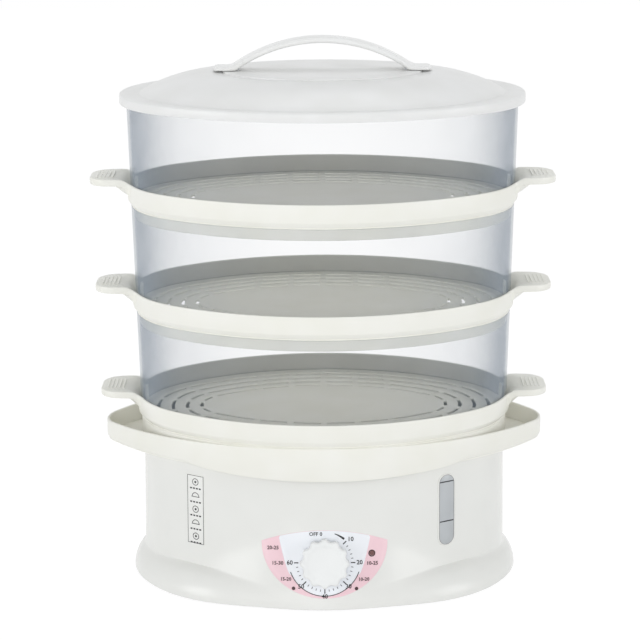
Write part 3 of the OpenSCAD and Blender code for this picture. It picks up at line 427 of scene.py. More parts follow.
def sweepCurve(tree, curve, section, radius, steps, caps=False):
    # runs a section with rounded corners along a curve; the section's -Y is up
    rounded = addNode(tree, "GeometryNodeFilletCurve", {0: section, "Count": steps,
        "Radius": radius}, mode="POLY")
    upright = addNode(tree, "GeometryNodeSetCurveNormal", {0: curve}, mode="Z_UP")
    return addNode(tree, "GeometryNodeCurveToMesh", {0: upright, 1: rounded, "Fill Caps": caps})


def endTree(tree, geometry, finish):
    real = addNode(tree, "GeometryNodeRealizeInstances", {0: geometry})
    painted = addNode(tree, "GeometryNodeSetMaterial", {0: real, "Material": finishes[finish]})
    addNode(tree, "NodeGroupOutput", {0: painted})
    return tree


def runTree(name, tree, sizes, points=(), edges=()):
    # applies a tree to an outline and returns the result as a plain mesh
    piece = meshObject(name, points, edges, [])
    modifier = piece.modifiers.new(name, "NODES")
    modifier.node_group = tree
    for item in tree.interface.items_tree:
        if item.in_out == "INPUT" and item.name in sizes:
            scale = 1 if item.name in ("Count", "Step", "Start") else mm    # the others are lengths
            modifier[item.identifier] = sizes[item.name] * scale
    return cleanMesh(plainMesh(piece))


def loopEdges(count, start=0):
    return [(start + i, start + (i + 1) % count) for i in range(count)]


print("stage: clear walls")
wallSizes = {"Height": 76, "Wall": 1.8, "Lean": 1.7, "Edge": 0.5}
wallInset = 2.3


def wallTree():
    # sweeps a leaning section with rounded corners along the outline
    tree, sizes = startTree("clearWall", *wallSizes)
    inner = addNode(tree, "ShaderNodeMath", {0: sizes["Lean"], 1: sizes["Wall"]}, operation="SUBTRACT")
    foot = addNode(tree, "ShaderNodeMath", {0: 0.0, 1: sizes["Wall"]}, operation="SUBTRACT")
    rise = addNode(tree, "ShaderNodeMath", {0: sizes["Height"], 1: -1.0}, operation="MULTIPLY")
    corners = {}
    for i, place in enumerate(({}, {0: sizes["Lean"], 1: rise}, {0: inner, 1: rise}, {0: foot})):
        corners[f"Point {i + 1}"] = addNode(tree, "ShaderNodeCombineXYZ", place)
    section = addNode(tree, "GeometryNodeCurvePrimitiveQuadrilateral", corners, mode="POINTS")
    path = addNode(tree, "GeometryNodeMeshToCurve", {0: sizes["Geometry"]})
    return endTree(tree, sweepCurve(tree, path, section, sizes["Edge"], 3), "clearPolycarbonate")


clearWall = wallTree()
for tier, body in enumerate(("bottom_bowl", "middle_bowl", "top_bowl")):
    outline = [(*ovalPoint(trayOval, a, tierIn(tier) - wallInset), tierZ(tier) + stack["floorRise"])
        for a in ovalAngles(trayOval, 48, 60)]
    wall = runTree(body + "_wall", clearWall, wallSizes, outline, loopEdges(len(outline)))
    placePiece(wall, "clearPolycarbonate", body, body)

print("stage: trays")
traySizes = {"height": 18, "wall": 1.8, "chamferHeight": 5, "chamferIn": 2.2,
    "skirtIn": 5.1, "skirt": 1.8, "skirtDrop": 8.5, "floorIn": 8.9, "floor": 2,
    "earLength": 27.5, "earWidth": 46, "earCorner": 15, "earFillet": 10, "earLift": 3.6,
    "earEdge": 5, "scoopDeep": 10, "scoopReach": 12,
    "slotIn": 13.9, "slotPitch": 11, "slotWidth": 2.6, "slotRows": 3, "slotEdge": 0.0004,
    "barPitch": 25, "barWidth": 5, "spokes": (-48, -16, 16, 48),
    "ribs": 5, "ribPitch": 2.9, "ribShort": 22, "ribWidth": 1.3, "ribHeight": 0.8, "ribIn": 5.5,
    "tabIn": 6.4, "tabThick": 1.8, "tabWidth": 8, "tabHeight": 15}


def earOutline(wallReach):
    # (angle, reach past the wall) round the middle of the tray's end, from one fillet to the other
    s = traySizes
    half, corner, fillet = s["earWidth"] / 2, s["earCorner"], s["earFillet"]
    middleX = sqrt((wallReach + fillet) ** 2 - (half + fillet) ** 2)
    tip = wallReach + s["earLength"]
    points = []
    startAngle = atan2(half + fillet, middleX)
    for i in range(9):    # the fillet that leaves the wall
        a = pi + startAngle + (pi / 2 - startAngle) * i / 8
        points.append((middleX + fillet * cos(a), half + fillet + fillet * sin(a)))
    for x in (0.35, 0.7):    # the side, which narrows a little
        points.append((middleX + (tip - corner - middleX) * x, half - 0.6 * x))
    for i in range(9):
        a = pi / 2 - pi / 2 * i / 8
        points.append((tip - corner + corner * cos(a), half - 0.8 - corner + corner * sin(a)))
    points.append((tip, 0))
    points += [(x, -y) for x, y in reversed(points[:-1])]
    return sorted((atan2(y, x), hypot(x, y) - wallReach, y) for x, y in points)


def traySection(out, side):
    # one section of the tray: distances out from its outline and heights over its seat
    s = traySizes
    top, lift = s["height"], s["height"] + s["earLift"] * smoothStep(0, 8, out)
    share = smoothStep(0, 7, out)
    scoop = s["scoopReach"] * (1 - (side / (s["earWidth"] / 2 + 4)) ** 2) + 1.5
    flat = max(min(scoop, out - 2.4), 0)
    under = lift - s["earEdge"]
    ear = [(0, top - 9), (flat * 0.35, top - 7.6), (flat * 0.75, top - 4), (flat + 1, lift - 2.2),
        (out - 2, lift - 2), (out - 1.8, under), (out - 0.5, under), (out, under + 0.6),
        (out, lift - 0.9), (out - 0.3, lift - 0.25), (out - 1, lift), (flat + 1.3, lift),
        (flat + 0.3, lift - 0.3)]
    for i in range(1, 6):   # the scoop runs down to the inner wall
        a = pi / 2 * i / 5
        ear.append((flat - (flat + s["wall"]) * sin(a) ** 0.9,
            top - s["scoopDeep"] + (lift - 0.6 - top + s["scoopDeep"]) * cos(a) ** 1.2))
    wall = [(0, top - d) for d in (5, 4.4, 3.8, 3.2, 2.6, 2.2, 1.8, 1.3, 0.7)]
    wall += [(-d, top - drop) for d, drop in (
        (0.15, 0.25), (0.45, 0), (0.8, 0), (1.1, 0), (1.3, 0.05), (1.5, 0.15), (1.65, 0.35),
        (1.75, 0.7), (1.8, 1.2))]
    rim = [(a[0] * share + b[0] * (1 - share), a[1] * share + b[1] * (1 - share))
        for a, b in zip(ear, wall)]
    low = -s["skirtIn"] - s["skirt"]
    rise, floor = stack["floorRise"], stack["floorRise"] - s["floor"]
    skirt = roundCorners([(-s["floorIn"], rise), (-s["floorIn"], floor), (low, floor),
        (low, -s["skirtDrop"]), (-s["skirtIn"], -s["skirtDrop"]),
        (-s["skirtIn"], 0), (-s["chamferIn"], 0)], [0, 0, 0.8, 0.5, 0.5, 0.8, 0.5], 3)
    band = [(-s["chamferIn"] * 0.12, s["chamferHeight"] - 0.5), (0, s["chamferHeight"] + 0.5)]
    foot = [(-s["wall"], rise + 0.9), (-s["wall"] - 0.25, rise + 0.25), (-s["wall"] - 0.9, rise)]
    return skirt + band + rim + foot


def floorTree():
    # flat rings along nested outlines, with the slots left open between them
    tree, sizes = startTree("trayFloor", "Ring Width", "Thickness")
    path = addNode(tree, "GeometryNodeMeshToCurve", {0: sizes["Geometry"]})
    section = addNode(tree, "GeometryNodeCurvePrimitiveQuadrilateral",
        {"Width": sizes["Ring Width"], "Height": sizes["Thickness"]}, mode="RECTANGLE")
    return endTree(tree, sweepCurve(tree, path, section, traySizes["slotEdge"], 2), "trayPolypropylene")


def barTree():
    # a row of rounded bars, used for the ribs on the ears and the bars of the floor
    tree, sizes = startTree("barRow", "Count", "Pitch", "Length", "Width", "Height")
    step = addNode(tree, "ShaderNodeCombineXYZ", {0: sizes["Pitch"]})
    row = addNode(tree, "GeometryNodeMeshLine", {"Count": sizes["Count"], "Offset": step},
        mode="OFFSET")
    section = addNode(tree, "GeometryNodeCurvePrimitiveQuadrilateral",
        {"Width": sizes["Width"], "Height": sizes["Height"]}, mode="RECTANGLE")
    radius = addNode(tree, "ShaderNodeMath", {0: sizes["Height"], 1: 0.35}, operation="MULTIPLY")
    ends = {}
    for label, share in (("Start", -0.5), ("End", 0.5)):
        half = addNode(tree, "ShaderNodeMath", {0: sizes["Length"], 1: share}, operation="MULTIPLY")
        ends[label] = addNode(tree, "ShaderNodeCombineXYZ", {1: half})
    line = addNode(tree, "GeometryNodeCurvePrimitiveLine", ends)
    bar = sweepCurve(tree, line, section, radius, 3, caps=True)
    bars = addNode(tree, "GeometryNodeInstanceOnPoints", {0: row, "Instance": bar})
    return endTree(tree, bars, "trayPolypropylene")


trayFloor = floorTree()
barRow = barTree()


def barPieces(name, count, pitch, length, width, height, places):
    # one row of bars from the tree, copied to each place
    row = runTree(name, barRow, {"Count": count, "Pitch": pitch, "Length": length, "Width": width,
        "Height": height})
    copies = []
    for x, y, z, turn in places:
        copy = newObject(name, row.data.copy())
        spot = Matrix.Translation((x * mm, y * mm, z * mm))
        copy.data.transform(spot @ Matrix.Rotation(turn, 4, "Z"))
        copies.append(copy)
    bpy.data.objects.remove(row)
    return copies


def makeTray(tier, body):
    s = traySizes
    inset, seat = tierIn(tier), tierZ(tier)
    wallReach = trayOval[2] + inset
    ears = earOutline(wallReach)
    limit = ears[-1][0] + 0.004
    turns = [a - 2 * pi if a >= 1.5 * pi else a for a in ovalAngles(trayOval, 56, 56)]
    turns = [a for a in turns if -pi / 2 <= a < pi / 2 and abs(a) > limit]
    sections = []
    for half in (0, pi):
        for angle, out, side in sorted(ears + [(a, 0, 60) for a in turns]):
            sections.append([(*ovalPoint(trayOval, angle + half, inset + d), seat + z)
                for d, z in traySection(max(out, 0), side)])
    pieces = [addMesh(body + "_shell", *loft(sections), sharp=38)]
    # the floor: a ring against the wall, equal rings between the rows of slots, and a middle plate
    floorZ = seat + stack["floorRise"] - s["floor"] / 2
    angles = ovalAngles(trayOval, 30, 34)
    first = s["floorIn"] - 1
    starts = [s["slotIn"] + s["slotWidth"] + i * s["slotPitch"] for i in range(s["slotRows"])]
    for width, rings in ((s["slotIn"] - first, [first]), (s["slotPitch"] - s["slotWidth"], starts)):
        points, edges = [], []
        for start in rings:
            edges += loopEdges(len(angles), len(points))
            points += [(*ovalPoint(trayOval, a, inset - start - width / 2), floorZ) for a in angles]
        pieces.append(runTree(body + "_floor", trayFloor, {
            "Ring Width": width, "Thickness": s["floor"]}, points, edges))
    inner = s["slotIn"] + s["slotRows"] * s["slotPitch"] + s["slotWidth"]
    plate = [[(*ovalPoint(trayOval, a, inset - inner), floorZ + z) for a in angles]
        for z in (-s["floor"] / 2, s["floor"] / 2)]
    pieces.append(addMesh(body + "_middle", *loft(plate, ring=False)))
    length = inner - s["floorIn"] + 1
    reach = trayOval[3] + inset - s["floorIn"] - 0.5
    places = []
    for i in range(-2, 3):  # straight bars across the sides, and spokes round the ends
        x = i * s["barPitch"]
        y = sqrt(reach ** 2 - x * x) - trayOval[1] - length / 2
        places += [(x, -y, floorZ, 0), (x, y, floorZ, 0)]
    for half in (0, pi):
        for turn in s["spokes"]:
            angle = radians(turn) + half
            spot = ovalPoint(trayOval, angle, inset - s["floorIn"] + 0.5 - length / 2)
            places.append((*spot, floorZ, angle + pi / 2))
    pieces += barPieces(body + "_bar", 1, 1, length, s["barWidth"], s["floor"] - 0.1, places)
    ribX = trayOval[0] + wallReach + s["earLength"] - s["ribIn"]
    ribZ = seat + s["height"] + s["earLift"]
    pieces += barPieces(body + "_rib", s["ribs"], -s["ribPitch"], s["earWidth"] - s["ribShort"],
        s["ribWidth"], s["ribHeight"], [(ribX, 0, ribZ, 0), (-ribX, 0, ribZ, pi)])
    tabX = trayOval[0] + wallReach - s["tabIn"]
    thick, wide = s["tabThick"] / 2, s["tabWidth"] / 2
    for x in (tabX, -tabX):    # a tab inside each end, to guide the wall
        pieces.append(boxMesh(body + "_tab", (-thick, -wide, 0), (thick, wide, s["tabHeight"]), 0.5,
            Matrix.Translation((x, 0, seat + stack["floorRise"] - 0.1))))
    tray = joinPieces(body + "_form", pieces, sharp=38)
    placePiece(tray, "trayPolypropylene", body, body)


for tier, body in enumerate(("bottom_tray", "middle_tray", "top_tray")):
    makeTray(tier, body)

print("stage: lid")
lidSizes = {"base": 365.3, "top": 383.3, "wall": 2.2, "over": 4.4, "edge": 7, "lip": 6, "lipOut": -3.35,
    "lipWall": 1.8, "dome": 98, "platform": 53, "ratio": 1.377, "shoulder": 60, "step": 1,
    "ventSpots": ((98, 54), (104, 49), (110, 44)), "ventLength": 8, "ventWidth": 2.2}


def domeReach(angle, size):
    c, s = cos(angle) / lidSizes["ratio"], sin(angle)
    return size / hypot(c, s)


def makeLid():
    # one section from the middle of the roof over the edge and back under it, lofted round the oval
    s = lidSizes
    base, roof, platform = s["base"], s["top"] - s["step"], s["platform"]
    rows = [("dome", r, s["top"] - drop) for r, drop in (
        (0.01, 0), (20, 0), (38, 0), (platform - 1.0, 0), (platform - 0.35, 0.1),
        (platform - 0.05, 0.35))]
    rows += [("dome", platform + r, roof - drop) for r, drop in (
        (0.1, 0.1), (0.3, 0.25), (1.0, 0.25), (1.5, 0))]
    flange, shoulderZ = base + s["wall"], roof - s["shoulder"]
    middle = s["dome"] - s["shoulder"] * 2 / 3
    last = middle + sqrt(s["shoulder"] ** 2 - (shoulderZ - flange) ** 2)
    for i in range(1, 19):
        x = middle - 1 + (last - 1.2 - middle + 1) * i / 18
        rows.append(("dome", x, shoulderZ + sqrt(s["shoulder"] ** 2 - max(x - middle, 0) ** 2)))
    rows += [("dome", last + r, flange + z) for r, z in (
        (-0.4, 0.12), (0.2, -0.15), (0.9, -0.15), (1.3, 0))]
    over, under, lip = s["over"], flange - s["edge"], s["lipOut"]
    rows += [("oval", r, z) for r, z in (
        (over - 1.7, flange), (over - 0.8, flange - 0.2), (over - 0.25, flange - 0.7),
        (over, flange - 1.5), (over, under + 0.6), (over - 0.3, under), (over - s["wall"] + 0.3, under),
        (over - s["wall"], under + 0.4), (over - s["wall"], base), (lip, base),
        (lip, base - s["lip"] + 0.3), (lip - 0.3, base - s["lip"]),
        (lip - s["lipWall"], base - s["lip"]), (lip - s["lipWall"], base))]
    inner = s["shoulder"] - s["wall"]
    for i in range(15):
        x = last - 2.6 + (middle - last + 2.6) * i / 14
        rows.append(("dome", x, shoulderZ + sqrt(inner ** 2 - (x - middle) ** 2)))
    rows += [("dome", 20, roof - s["wall"]), ("dome", 0.01, roof - s["wall"])]
    sections = []
    for i in range(288):
        a = 2 * pi * i / 288
        section = []
        for kind, value, z in rows:
            reach = domeReach(a, value) if kind == "dome" else ovalReach(trayOval, a, value)
            if kind == "dome" and value > s["dome"] - 4:    # kept inside the flange and the lip
                limit = over - 2.6 if z > base + 1 else lip - 2
                reach = min(reach, ovalReach(trayOval, a, limit))
            section.append((reach * cos(a), reach * sin(a), z))
        sections.append(section)
    lid = addMesh("lid_form", *loft(sections, closed=False), sharp=38)
    long, wide = s["ventLength"] / 2, s["ventWidth"] / 2
    vents = []
    for x, y in s["ventSpots"]:
        place = Matrix.Translation((x, y, base + 8)) @ Matrix.Rotation(atan2(y, x / 2), 4, "Z")
        vents.append(boxMesh("vent", (-long, -wide, -8), (long, wide, 12), 0.5, place))
    return cutAway(lid, joinPieces("vents", vents), 38)


placePiece(makeLid(), "lidPolypropylene", "lid", "lid_shell")

handleSizes = {"height": 24.5, "radius": 115, "thick": 4.6, "width": 20, "padX": 80, "pad": 3,
    "padEdge": 1.6, "padStart": 58, "padRound": 22.05}


def makeHandle():
    # sections along an arched strap that flattens into a round pad at each end
    s = handleSizes
    centre = s["height"] - s["radius"]
    sections = []
    for i in range(-120, 121):
        x = s["padX"] * sin(pi / 2 * i / 120) * 0.9995
        ax = abs(x)
        edge = max(s["padEdge"] - (s["padX"] - ax), 0) / s["padEdge"]
        pad = s["pad"] * sqrt(1 - edge ** 2) * smoothStep(54, 60, ax)
        top = softMax(sqrt(s["radius"] ** 2 - x * x) + centre, pad, 2.5)
        low = max(sqrt((s["radius"] - s["thick"]) ** 2 - x * x) + centre, 0)
        half = s["width"] / 2 * (1 - 0.06 * smoothStep(30, 0, ax))
        if ax > s["padStart"]:
            half = min(half + smoothStep(52, 60, ax),
                sqrt(s["padRound"] ** 2 - (ax - s["padStart"]) ** 2))
        section = []
        for k in range(28):
            c, sn = cos(2 * pi * k / 28), sin(2 * pi * k / 28)
            y = half * copysign(abs(c) ** 0.36, c)
            z = (top + low) / 2 + (top - low) / 2 * copysign(abs(sn) ** 0.55, sn)
            section.append((x, y, lidSizes["top"] + z))
        sections.append(section)
    return addMesh("lid_handle_form", *loft(sections, ring=False), sharp=50)


placePiece(makeHandle(), "handlePolypropylene", "lid", "lid_handle")

print("stage: drip tray")
dripSizes = {"wall": 2.2, "height": 19.3, "dip": 6, "dipCurve": 1840, "crown": 4.5, "bodyTop": 103,
    "span": 165.7, "chimneyRise": 7, "ringIn": 8.1, "ringWall": 2, "ribIn": 4.8, "ribWall": 1.8}


def makeDripTray():
    s = dripSizes
    floor, top = s["bodyTop"], s["bodyTop"] + s["wall"]
    rim = floor + s["height"]
    sections = []
    for a in ovalAngles(collarOval, 64, 80):
        x = ovalPoint(collarOval, a)[0]
        low = min(floor - s["dip"] + x * x / s["dipCurve"], floor)
        high = rim - s["crown"] * (x / s["span"]) ** 2
        inset = 1.8 * smoothStep(floor - 2, floor, low)    # rounder under the end pockets
        profile = [(-0.7 - inset, low), (-0.25 - inset * 0.4, low + 0.25 + inset * 0.3),
            (0, low + 1 + inset), (0, high - 1.1), (-0.15, high - 0.5), (-0.5, high - 0.12),
            (-1.0, high), (-1.35, high), (-1.8, high - 0.15), (-2.1, high - 0.55),
            (-s["wall"], high - 1.2), (-s["wall"], low + 1.6 + inset), (-s["wall"], low + 0.4)]
        sections.append([(*ovalPoint(collarOval, a, d), z) for d, z in profile])
    collar = addMesh("collar", *loft(sections), sharp=40)
    outer = [ovalPoint(collarOval, a, -1.2) for a in ovalAngles(collarOval, 48, 64)]
    inner = []
    for x, y in outer:
        a = atan2(y, x)
        reach = ovalReach(chimneyOval, a)
        inner.append((reach * cos(a), reach * sin(a)))
    sheet = addMesh("sheet", *loft([[(x, y, z) for x, y in ring] for ring, z in (
        (outer, floor), (outer, top), (inner, top), (inner, floor))]), sharp=30)
    ring = hoop("ring", trayOval, -s["ringIn"], s["ringWall"] - s["ringIn"], top - 1, rim,
        [0, 0, 0.5, 0.5])
    rib = hoop("rib", bodyOval, -s["ribIn"], s["ribWall"] - s["ribIn"], floor - 5, floor + 1,
        [0.5, 0.5, 0, 0])
    chimney = hoop("chimney", chimneyOval, 0, 1.8, floor, top + s["chimneyRise"], [0, 0, 0.6, 0.6])
    bars = []
    for x in range(-50, 51, 20):   # bars across the steam opening, shorter at its ends
        long, wide = (34.5, 8) if abs(x) < 50 else (22, 6)
        bars.append(boxMesh("bar", (x - wide, -long, floor), (x + wide, long, top - 0.05), 0.4))
    return joinPieces("drip_tray_form", [collar, sheet, ring, rib, chimney] + bars, sharp=40)


placePiece(makeDripTray(), "trayPolypropylene", "drip_tray", "drip_tray")

print("stage: housing")
baseSizes = {"top": 103, "draft": 1.4, "wall": 2.5, "foot": 1.5, "flare": 20.3, "bulge": 147.5,
    "bulgeY": 42, "lean": 0.28, "wallStart": 17, "crease": 2.6,
    "gaugeX": 90.5, "gaugeZ": 64.7, "gaugeWidth": 13.5, "gaugeHeight": 55,
    "glandX": -45, "glandZ": 34, "glandRadius": 7}


def draftAt(z):
    return baseSizes["draft"] * (baseSizes["top"] - z) / (baseSizes["top"] - baseSizes["wallStart"])


def housingReach(angle, z):
    # wall, flared foot and dial bulge, run together with soft creases
    s = baseSizes
    reach = ovalReach(bodyOval, angle, draftAt(max(z, s["wallStart"] - 6)))
    rise = z - s["foot"]
    if rise < s["flare"]:
        inset = sqrt(s["flare"] ** 2 - rise ** 2) - s["flare"]
        reach = softMax(reach, ovalReach(footOval, angle, inset), s["crease"])
    along = s["bulgeY"] * sin(angle)
    radius = s["bulge"] - s["lean"] * z
    inside = radius * radius - s["bulgeY"] ** 2 + along * along
    if sin(angle) < 0 and inside > 0:
        reach = softMax(reach, along + sqrt(inside), s["crease"])
    return reach


def frontPlace(x, z):
    # a frame on the drafted front wall, in mm: x along it, y up, z outwards
    radius = bodyOval[3] + draftAt(z)
    y = bodyOval[1] - sqrt(radius * radius - x * x)
    lean = atan(baseSizes["draft"] / (baseSizes["top"] - baseSizes["wallStart"]))
    return (Matrix.Translation((x, y, z)) @ Matrix.Rotation(asin(x / radius), 4, "Z")
        @ Matrix.Rotation(pi / 2 - lean, 4, "X"))


def makeHousing():
    s = baseSizes
    heights = [s["foot"] + 0.5, s["foot"] + 1, s["foot"] + 2, 5, 6.5, 8]
    heights += [9 + i for i in range(24)] + [33 + 1.6 * i for i in range(25)]
    heights += [75, 80, 86, 92, 98, s["top"]]
    inner = [s["top"], 88, 72, 60, 50, 42, 36, 30, 26, 23, 20, 17, 14, 11, 8, 5, 3, s["foot"]]
    sections = []
    for i in range(432):
        a = 2 * pi * i / 432
        rows = [(housingReach(a, s["foot"]) - 0.6, s["foot"])]
        rows += [(housingReach(a, z), z) for z in heights]
        rows += [(housingReach(a, z) - s["wall"], z) for z in inner]
        sections.append([(reach * cos(a), reach * sin(a), z) for reach, z in rows])
    housing = addMesh("base_housing_form", *loft(sections), sharp=40)
    window = prism("window", slotOutline(s["gaugeWidth"], s["gaugeHeight"]), -12, 12,
        frontPlace(s["gaugeX"], s["gaugeZ"]))
    rear = Matrix.Rotation(pi, 4, "Z") @ frontPlace(s["glandX"], s["glandZ"])
    hole = prism("hole", disc(0, 0, s["glandRadius"], 48), -12, 12, rear)
    return cutAway(housing, joinPieces("openings", [window, hole]), 40)


placePiece(makeHousing(), "baseAbs", "base", "base_housing")

print("stage: dial")
dialSizes = {"z": 35, "across": 46.2, "down": 41, "up": 15, "top": 23.7, "topRadius": 143,
    "proud": 0.3, "hole": 4.5, "whiteHalf": 25.4, "whiteSpread": 8.1, "whiteFrom": 8.8,
    "whiteUp": 2.3, "whiteRadius": 26.7, "film": 0.12}
tilt = atan(baseSizes["lean"])
dialRight = Vector((1, 0, 0))
dialUp = Vector((0, sin(tilt), cos(tilt)))
dialOut = Vector((0, -cos(tilt), sin(tilt)))
dialCentre = Vector((0, baseSizes["bulgeY"] - baseSizes["bulge"] + baseSizes["lean"] * dialSizes["z"],
    dialSizes["z"]))


def onDial(x, y, lift):
    # a point of the dial's drawing, laid on the housing's surface and lifted off it
    start = dialCentre + dialRight * x + dialUp * y
    low, high = -14.0, 6.0
    for _ in range(22):
        mid = (low + high) / 2
        p = start + dialOut * mid
        if hypot(p.x, p.y) > housingReach(atan2(p.y, p.x), p.z):
            high = mid
        else:
            low = mid
    return start + dialOut * (low + lift)


def inFascia(x, y):
    s = dialSizes
    return ((x / s["across"]) ** 2 + ((y - s["up"]) / s["down"]) ** 2 < 1
        and hypot(x, y - s["top"] + s["topRadius"]) < s["topRadius"])


def inWhite(x, y):
    # the white field: a fan above and a round end below
    s = dialSizes
    if not inFascia(x, y):
        return False
    if y > -s["whiteFrom"]:
        return abs(x) < s["whiteHalf"] + s["whiteSpread"] * ((y + s["whiteFrom"]) / 26.8) ** 0.7
    return hypot(x, y - s["whiteUp"]) < s["whiteRadius"]


def edgeReach(inside, angle):
    low, high = 0.0, 60.0
    for _ in range(20):
        mid = (low + high) / 2
        if inside(mid * cos(angle), mid * sin(angle)):
            low = mid
        else:
            high = mid
    return low


def dialSheet(name, inside, low, high, shrink=0.0, steps=150, rows=9):
    # a sheet that follows the housing, from the hole for the shaft out to its edge
    hole = dialSizes["hole"]
    turns = [2 * pi * i / steps for i in range(steps)]
    reaches = [edgeReach(inside, a) - shrink for a in turns]
    levels = [(k / rows, high) for k in range(rows)] + [(0.995, high), (1, high - 0.12), (1, low)]
    rings = []
    for share, lift in levels + [(0, low)]:
        radii = [hole + (reach - hole) * share for reach in reaches]
        rings.append([onDial(r * cos(a), r * sin(a), lift) for r, a in zip(radii, turns)])
    return addMesh(name, *loft(rings), sharp=40)


proud = dialSizes["proud"]
fascia = dialSheet("dial_plate_form", inFascia, -1.15, proud)
placePiece(fascia, "printPink", "base", "dial_plate")
white = dialSheet("dial_white_field", inWhite, 0.2, proud + 0.06, shrink=0.15)
placePiece(white, "printWhite", "base", "dial_plate", replace=False)


def inkFilm(name, outlines, onSurface, lifts, finish, node, sharp):
    # flat shapes of a print and of painted shade lines, each laid on its surface as a thin raised film
    points, faces = [], []
    for outline in outlines:
        start, count = len(points), len(outline)
        for lift in lifts:
            points += [onSurface(x, y, lift) for x, y in outline]
        faces.append(tuple(range(start, start + count)))
        faces.append(tuple(range(start + 2 * count - 1, start + count - 1, -1)))
        for i in range(count):
            j = (i + 1) % count
            faces.append((start + i, start + count + i, start + count + j, start + j))
    placePiece(addMesh(name, points, faces, sharp), finish, "base", node, replace=False)


def dialInk(name, outlines, finish="printBlackAndShadow"):
    lift = proud + 0.08
    inkFilm(name, outlines, onDial, (lift + dialSizes["film"], lift - 0.1), finish, "dial_plate", 30)


def arcBand(centre, radius, widths, start, end, steps=40):
    # a band along an arc, as separate short shapes, with a width for each end
    shapes = []
    for i in range(steps):
        shape = []
        for t, sign in ((i, 1), (i + 1, 1), (i + 1, -1), (i, -1)):
            a = radians(start + (end - start) * t / steps)
            r = radius + sign * (widths[0] + (widths[1] - widths[0]) * t / steps) / 2
            shape.append((centre[0] + r * sin(a), centre[1] + r * cos(a)))
        shapes.append(shape)
    return shapes


def tickTree():
    # short marks set round a circle, pointing away from its middle
    tree, sizes = startTree("dialTicks", "Count", "Step", "Start", "Radius", "Length", "Width")
    bar = addNode(tree, "GeometryNodeMeshGrid", {"Size X": sizes["Width"], "Size Y": sizes["Length"],
        "Vertices X": 2, "Vertices Y": 3})
    away = addNode(tree, "ShaderNodeCombineXYZ", {1: sizes["Radius"]})
    moved = addNode(tree, "GeometryNodeSetPosition", {0: bar, "Offset": away})
    points = addNode(tree, "GeometryNodePoints", {"Count": sizes["Count"]})
    index = addNode(tree, "GeometryNodeInputIndex")
    turned = addNode(tree, "ShaderNodeMath", {0: index, 1: sizes["Step"], 2: sizes["Start"]},
        operation="MULTIPLY_ADD")
    back = addNode(tree, "ShaderNodeMath", {0: turned, 1: -1.0}, operation="MULTIPLY")
    turn = addNode(tree, "ShaderNodeCombineXYZ", {2: back})
    marks = addNode(tree, "GeometryNodeInstanceOnPoints", {0: points, "Instance": moved,
        "Rotation": turn})
    return endTree(tree, marks, "printDarkAndShade")


dialTicks = tickTree()


def meshShapes(mesh, x=0, y=0):
    # the faces of a flat mesh as outlines in mm, moved by x and y
    return [[(mesh.vertices[v].co.x / mm + x, mesh.vertices[v].co.y / mm + y) for v in face.vertices]
        for face in mesh.polygons]


def tickShapes(count, step, start, radius, length, width):
    flat = runTree("ticks", dialTicks, {"Count": count, "Step": radians(step), "Start": radians(start),
        "Radius": radius, "Length": length, "Width": width})
    shapes = meshShapes(flat.data)
    bpy.data.objects.remove(flat)
    return shapes


def textShapes(words, x, y, size):
    # a line of figures as flat shapes, centred on a point of the dial
    curve = bpy.data.curves.new("figures", "FONT")
    curve.body = words
    curve.size = size * mm
    curve.align_x, curve.align_y = "CENTER", "CENTER"
    curve.resolution_u = 2
    curve.offset = size * 0.018 * mm
    text = newObject("figures", curve)
    bpy.context.view_layer.update()
    flat = bpy.data.meshes.new_from_object(text.evaluated_get(bpy.context.evaluated_depsgraph_get()))
    bpy.data.objects.remove(text)
    return meshShapes(flat, x, y)


dialPrint = {
    "tens": ((10, 48, 25.6), (20, 90, 25.6), (30, 135, 24.6), (40, 180, 24.6), (50, 225, 24.6),
    (60, 270, 25.6)),    # figure, its turn in degrees and its reach
    "off": ("OFF 0", -6.5, 20.9, 3.8),    # words, place and size
    "ranges": (("20-25", -37.9, 10.8, 3.7), ("15-30", -34.6, -0.4, 3.7), ("15-20", -28.6, -12.0, 3.5),
    ("10-25", 34.9, -0.8, 3.7), ("10-20", 28.6, -12.4, 3.5)),
    "dots": ((-22.9, -18.6, 1.3), (23.2, -19.0, 1.3)), "lamp": (34.6, 6.6),
}
ticks = tickShapes(6, 45, 45, 20.8, 3.2, 0.75)    # the tens, then the steps between them
ticks += tickShapes(26, 9, 45, 20.4, 1.5, 0.42)
dialInk("dial_ticks", ticks)
figures = []
for value, angle, reach in dialPrint["tens"]:
    a = radians(angle)
    figures += textShapes(str(value), reach * sin(a), reach * cos(a), 4.5)
figures += textShapes(*dialPrint["off"])
dialInk("dial_figures", figures)
dialInk("dial_arrow", arcBand((0, 0), 22.4, (0.5, 1.6), 19, 39.5, 12))
# a painted shadow: a dark line along the lower rim of the raised white field, where its edge throws
# shade
dialInk("dial_shadow_arc", arcBand((0, 2.3), 26.6, (0.55, 0.55), 110, 250, 70))
ranges = []
for words in dialPrint["ranges"]:
    ranges += textShapes(*words)
ranges += [disc(*dot) for dot in dialPrint["dots"]]
dialInk("dial_ranges", ranges, "printDarkAndShade")
dialInk("dial_lamp_ring", arcBand(dialPrint["lamp"], 2.2, (0.7, 0.7), 0, 360, 24), "printDarkAndShade")

knobSizes = {"radius": 18, "height": 10.5, "flutes": 12, "fluteRadius": 4.2, "fluteOut": 2.4,
    "gap": 0.8, "dish": 11.5, "markEnd": 16.4, "markWidth": 1.2}


def knobReach(angle, inset):
    # the round edge, or the nearest flute where that cuts in
    s = knobSizes
    step = 2 * pi / s["flutes"]
    off = (angle / step - 0.5 - round(angle / step - 0.5)) * step
    centre = s["radius"] + s["fluteOut"]
    inside = (s["fluteRadius"] + inset) ** 2 - (centre * sin(off)) ** 2
    edge = s["radius"] - inset
    if inside <= 0:
        return edge
    return -softMax(-edge, -(centre * cos(off) - sqrt(inside)), 0.8)


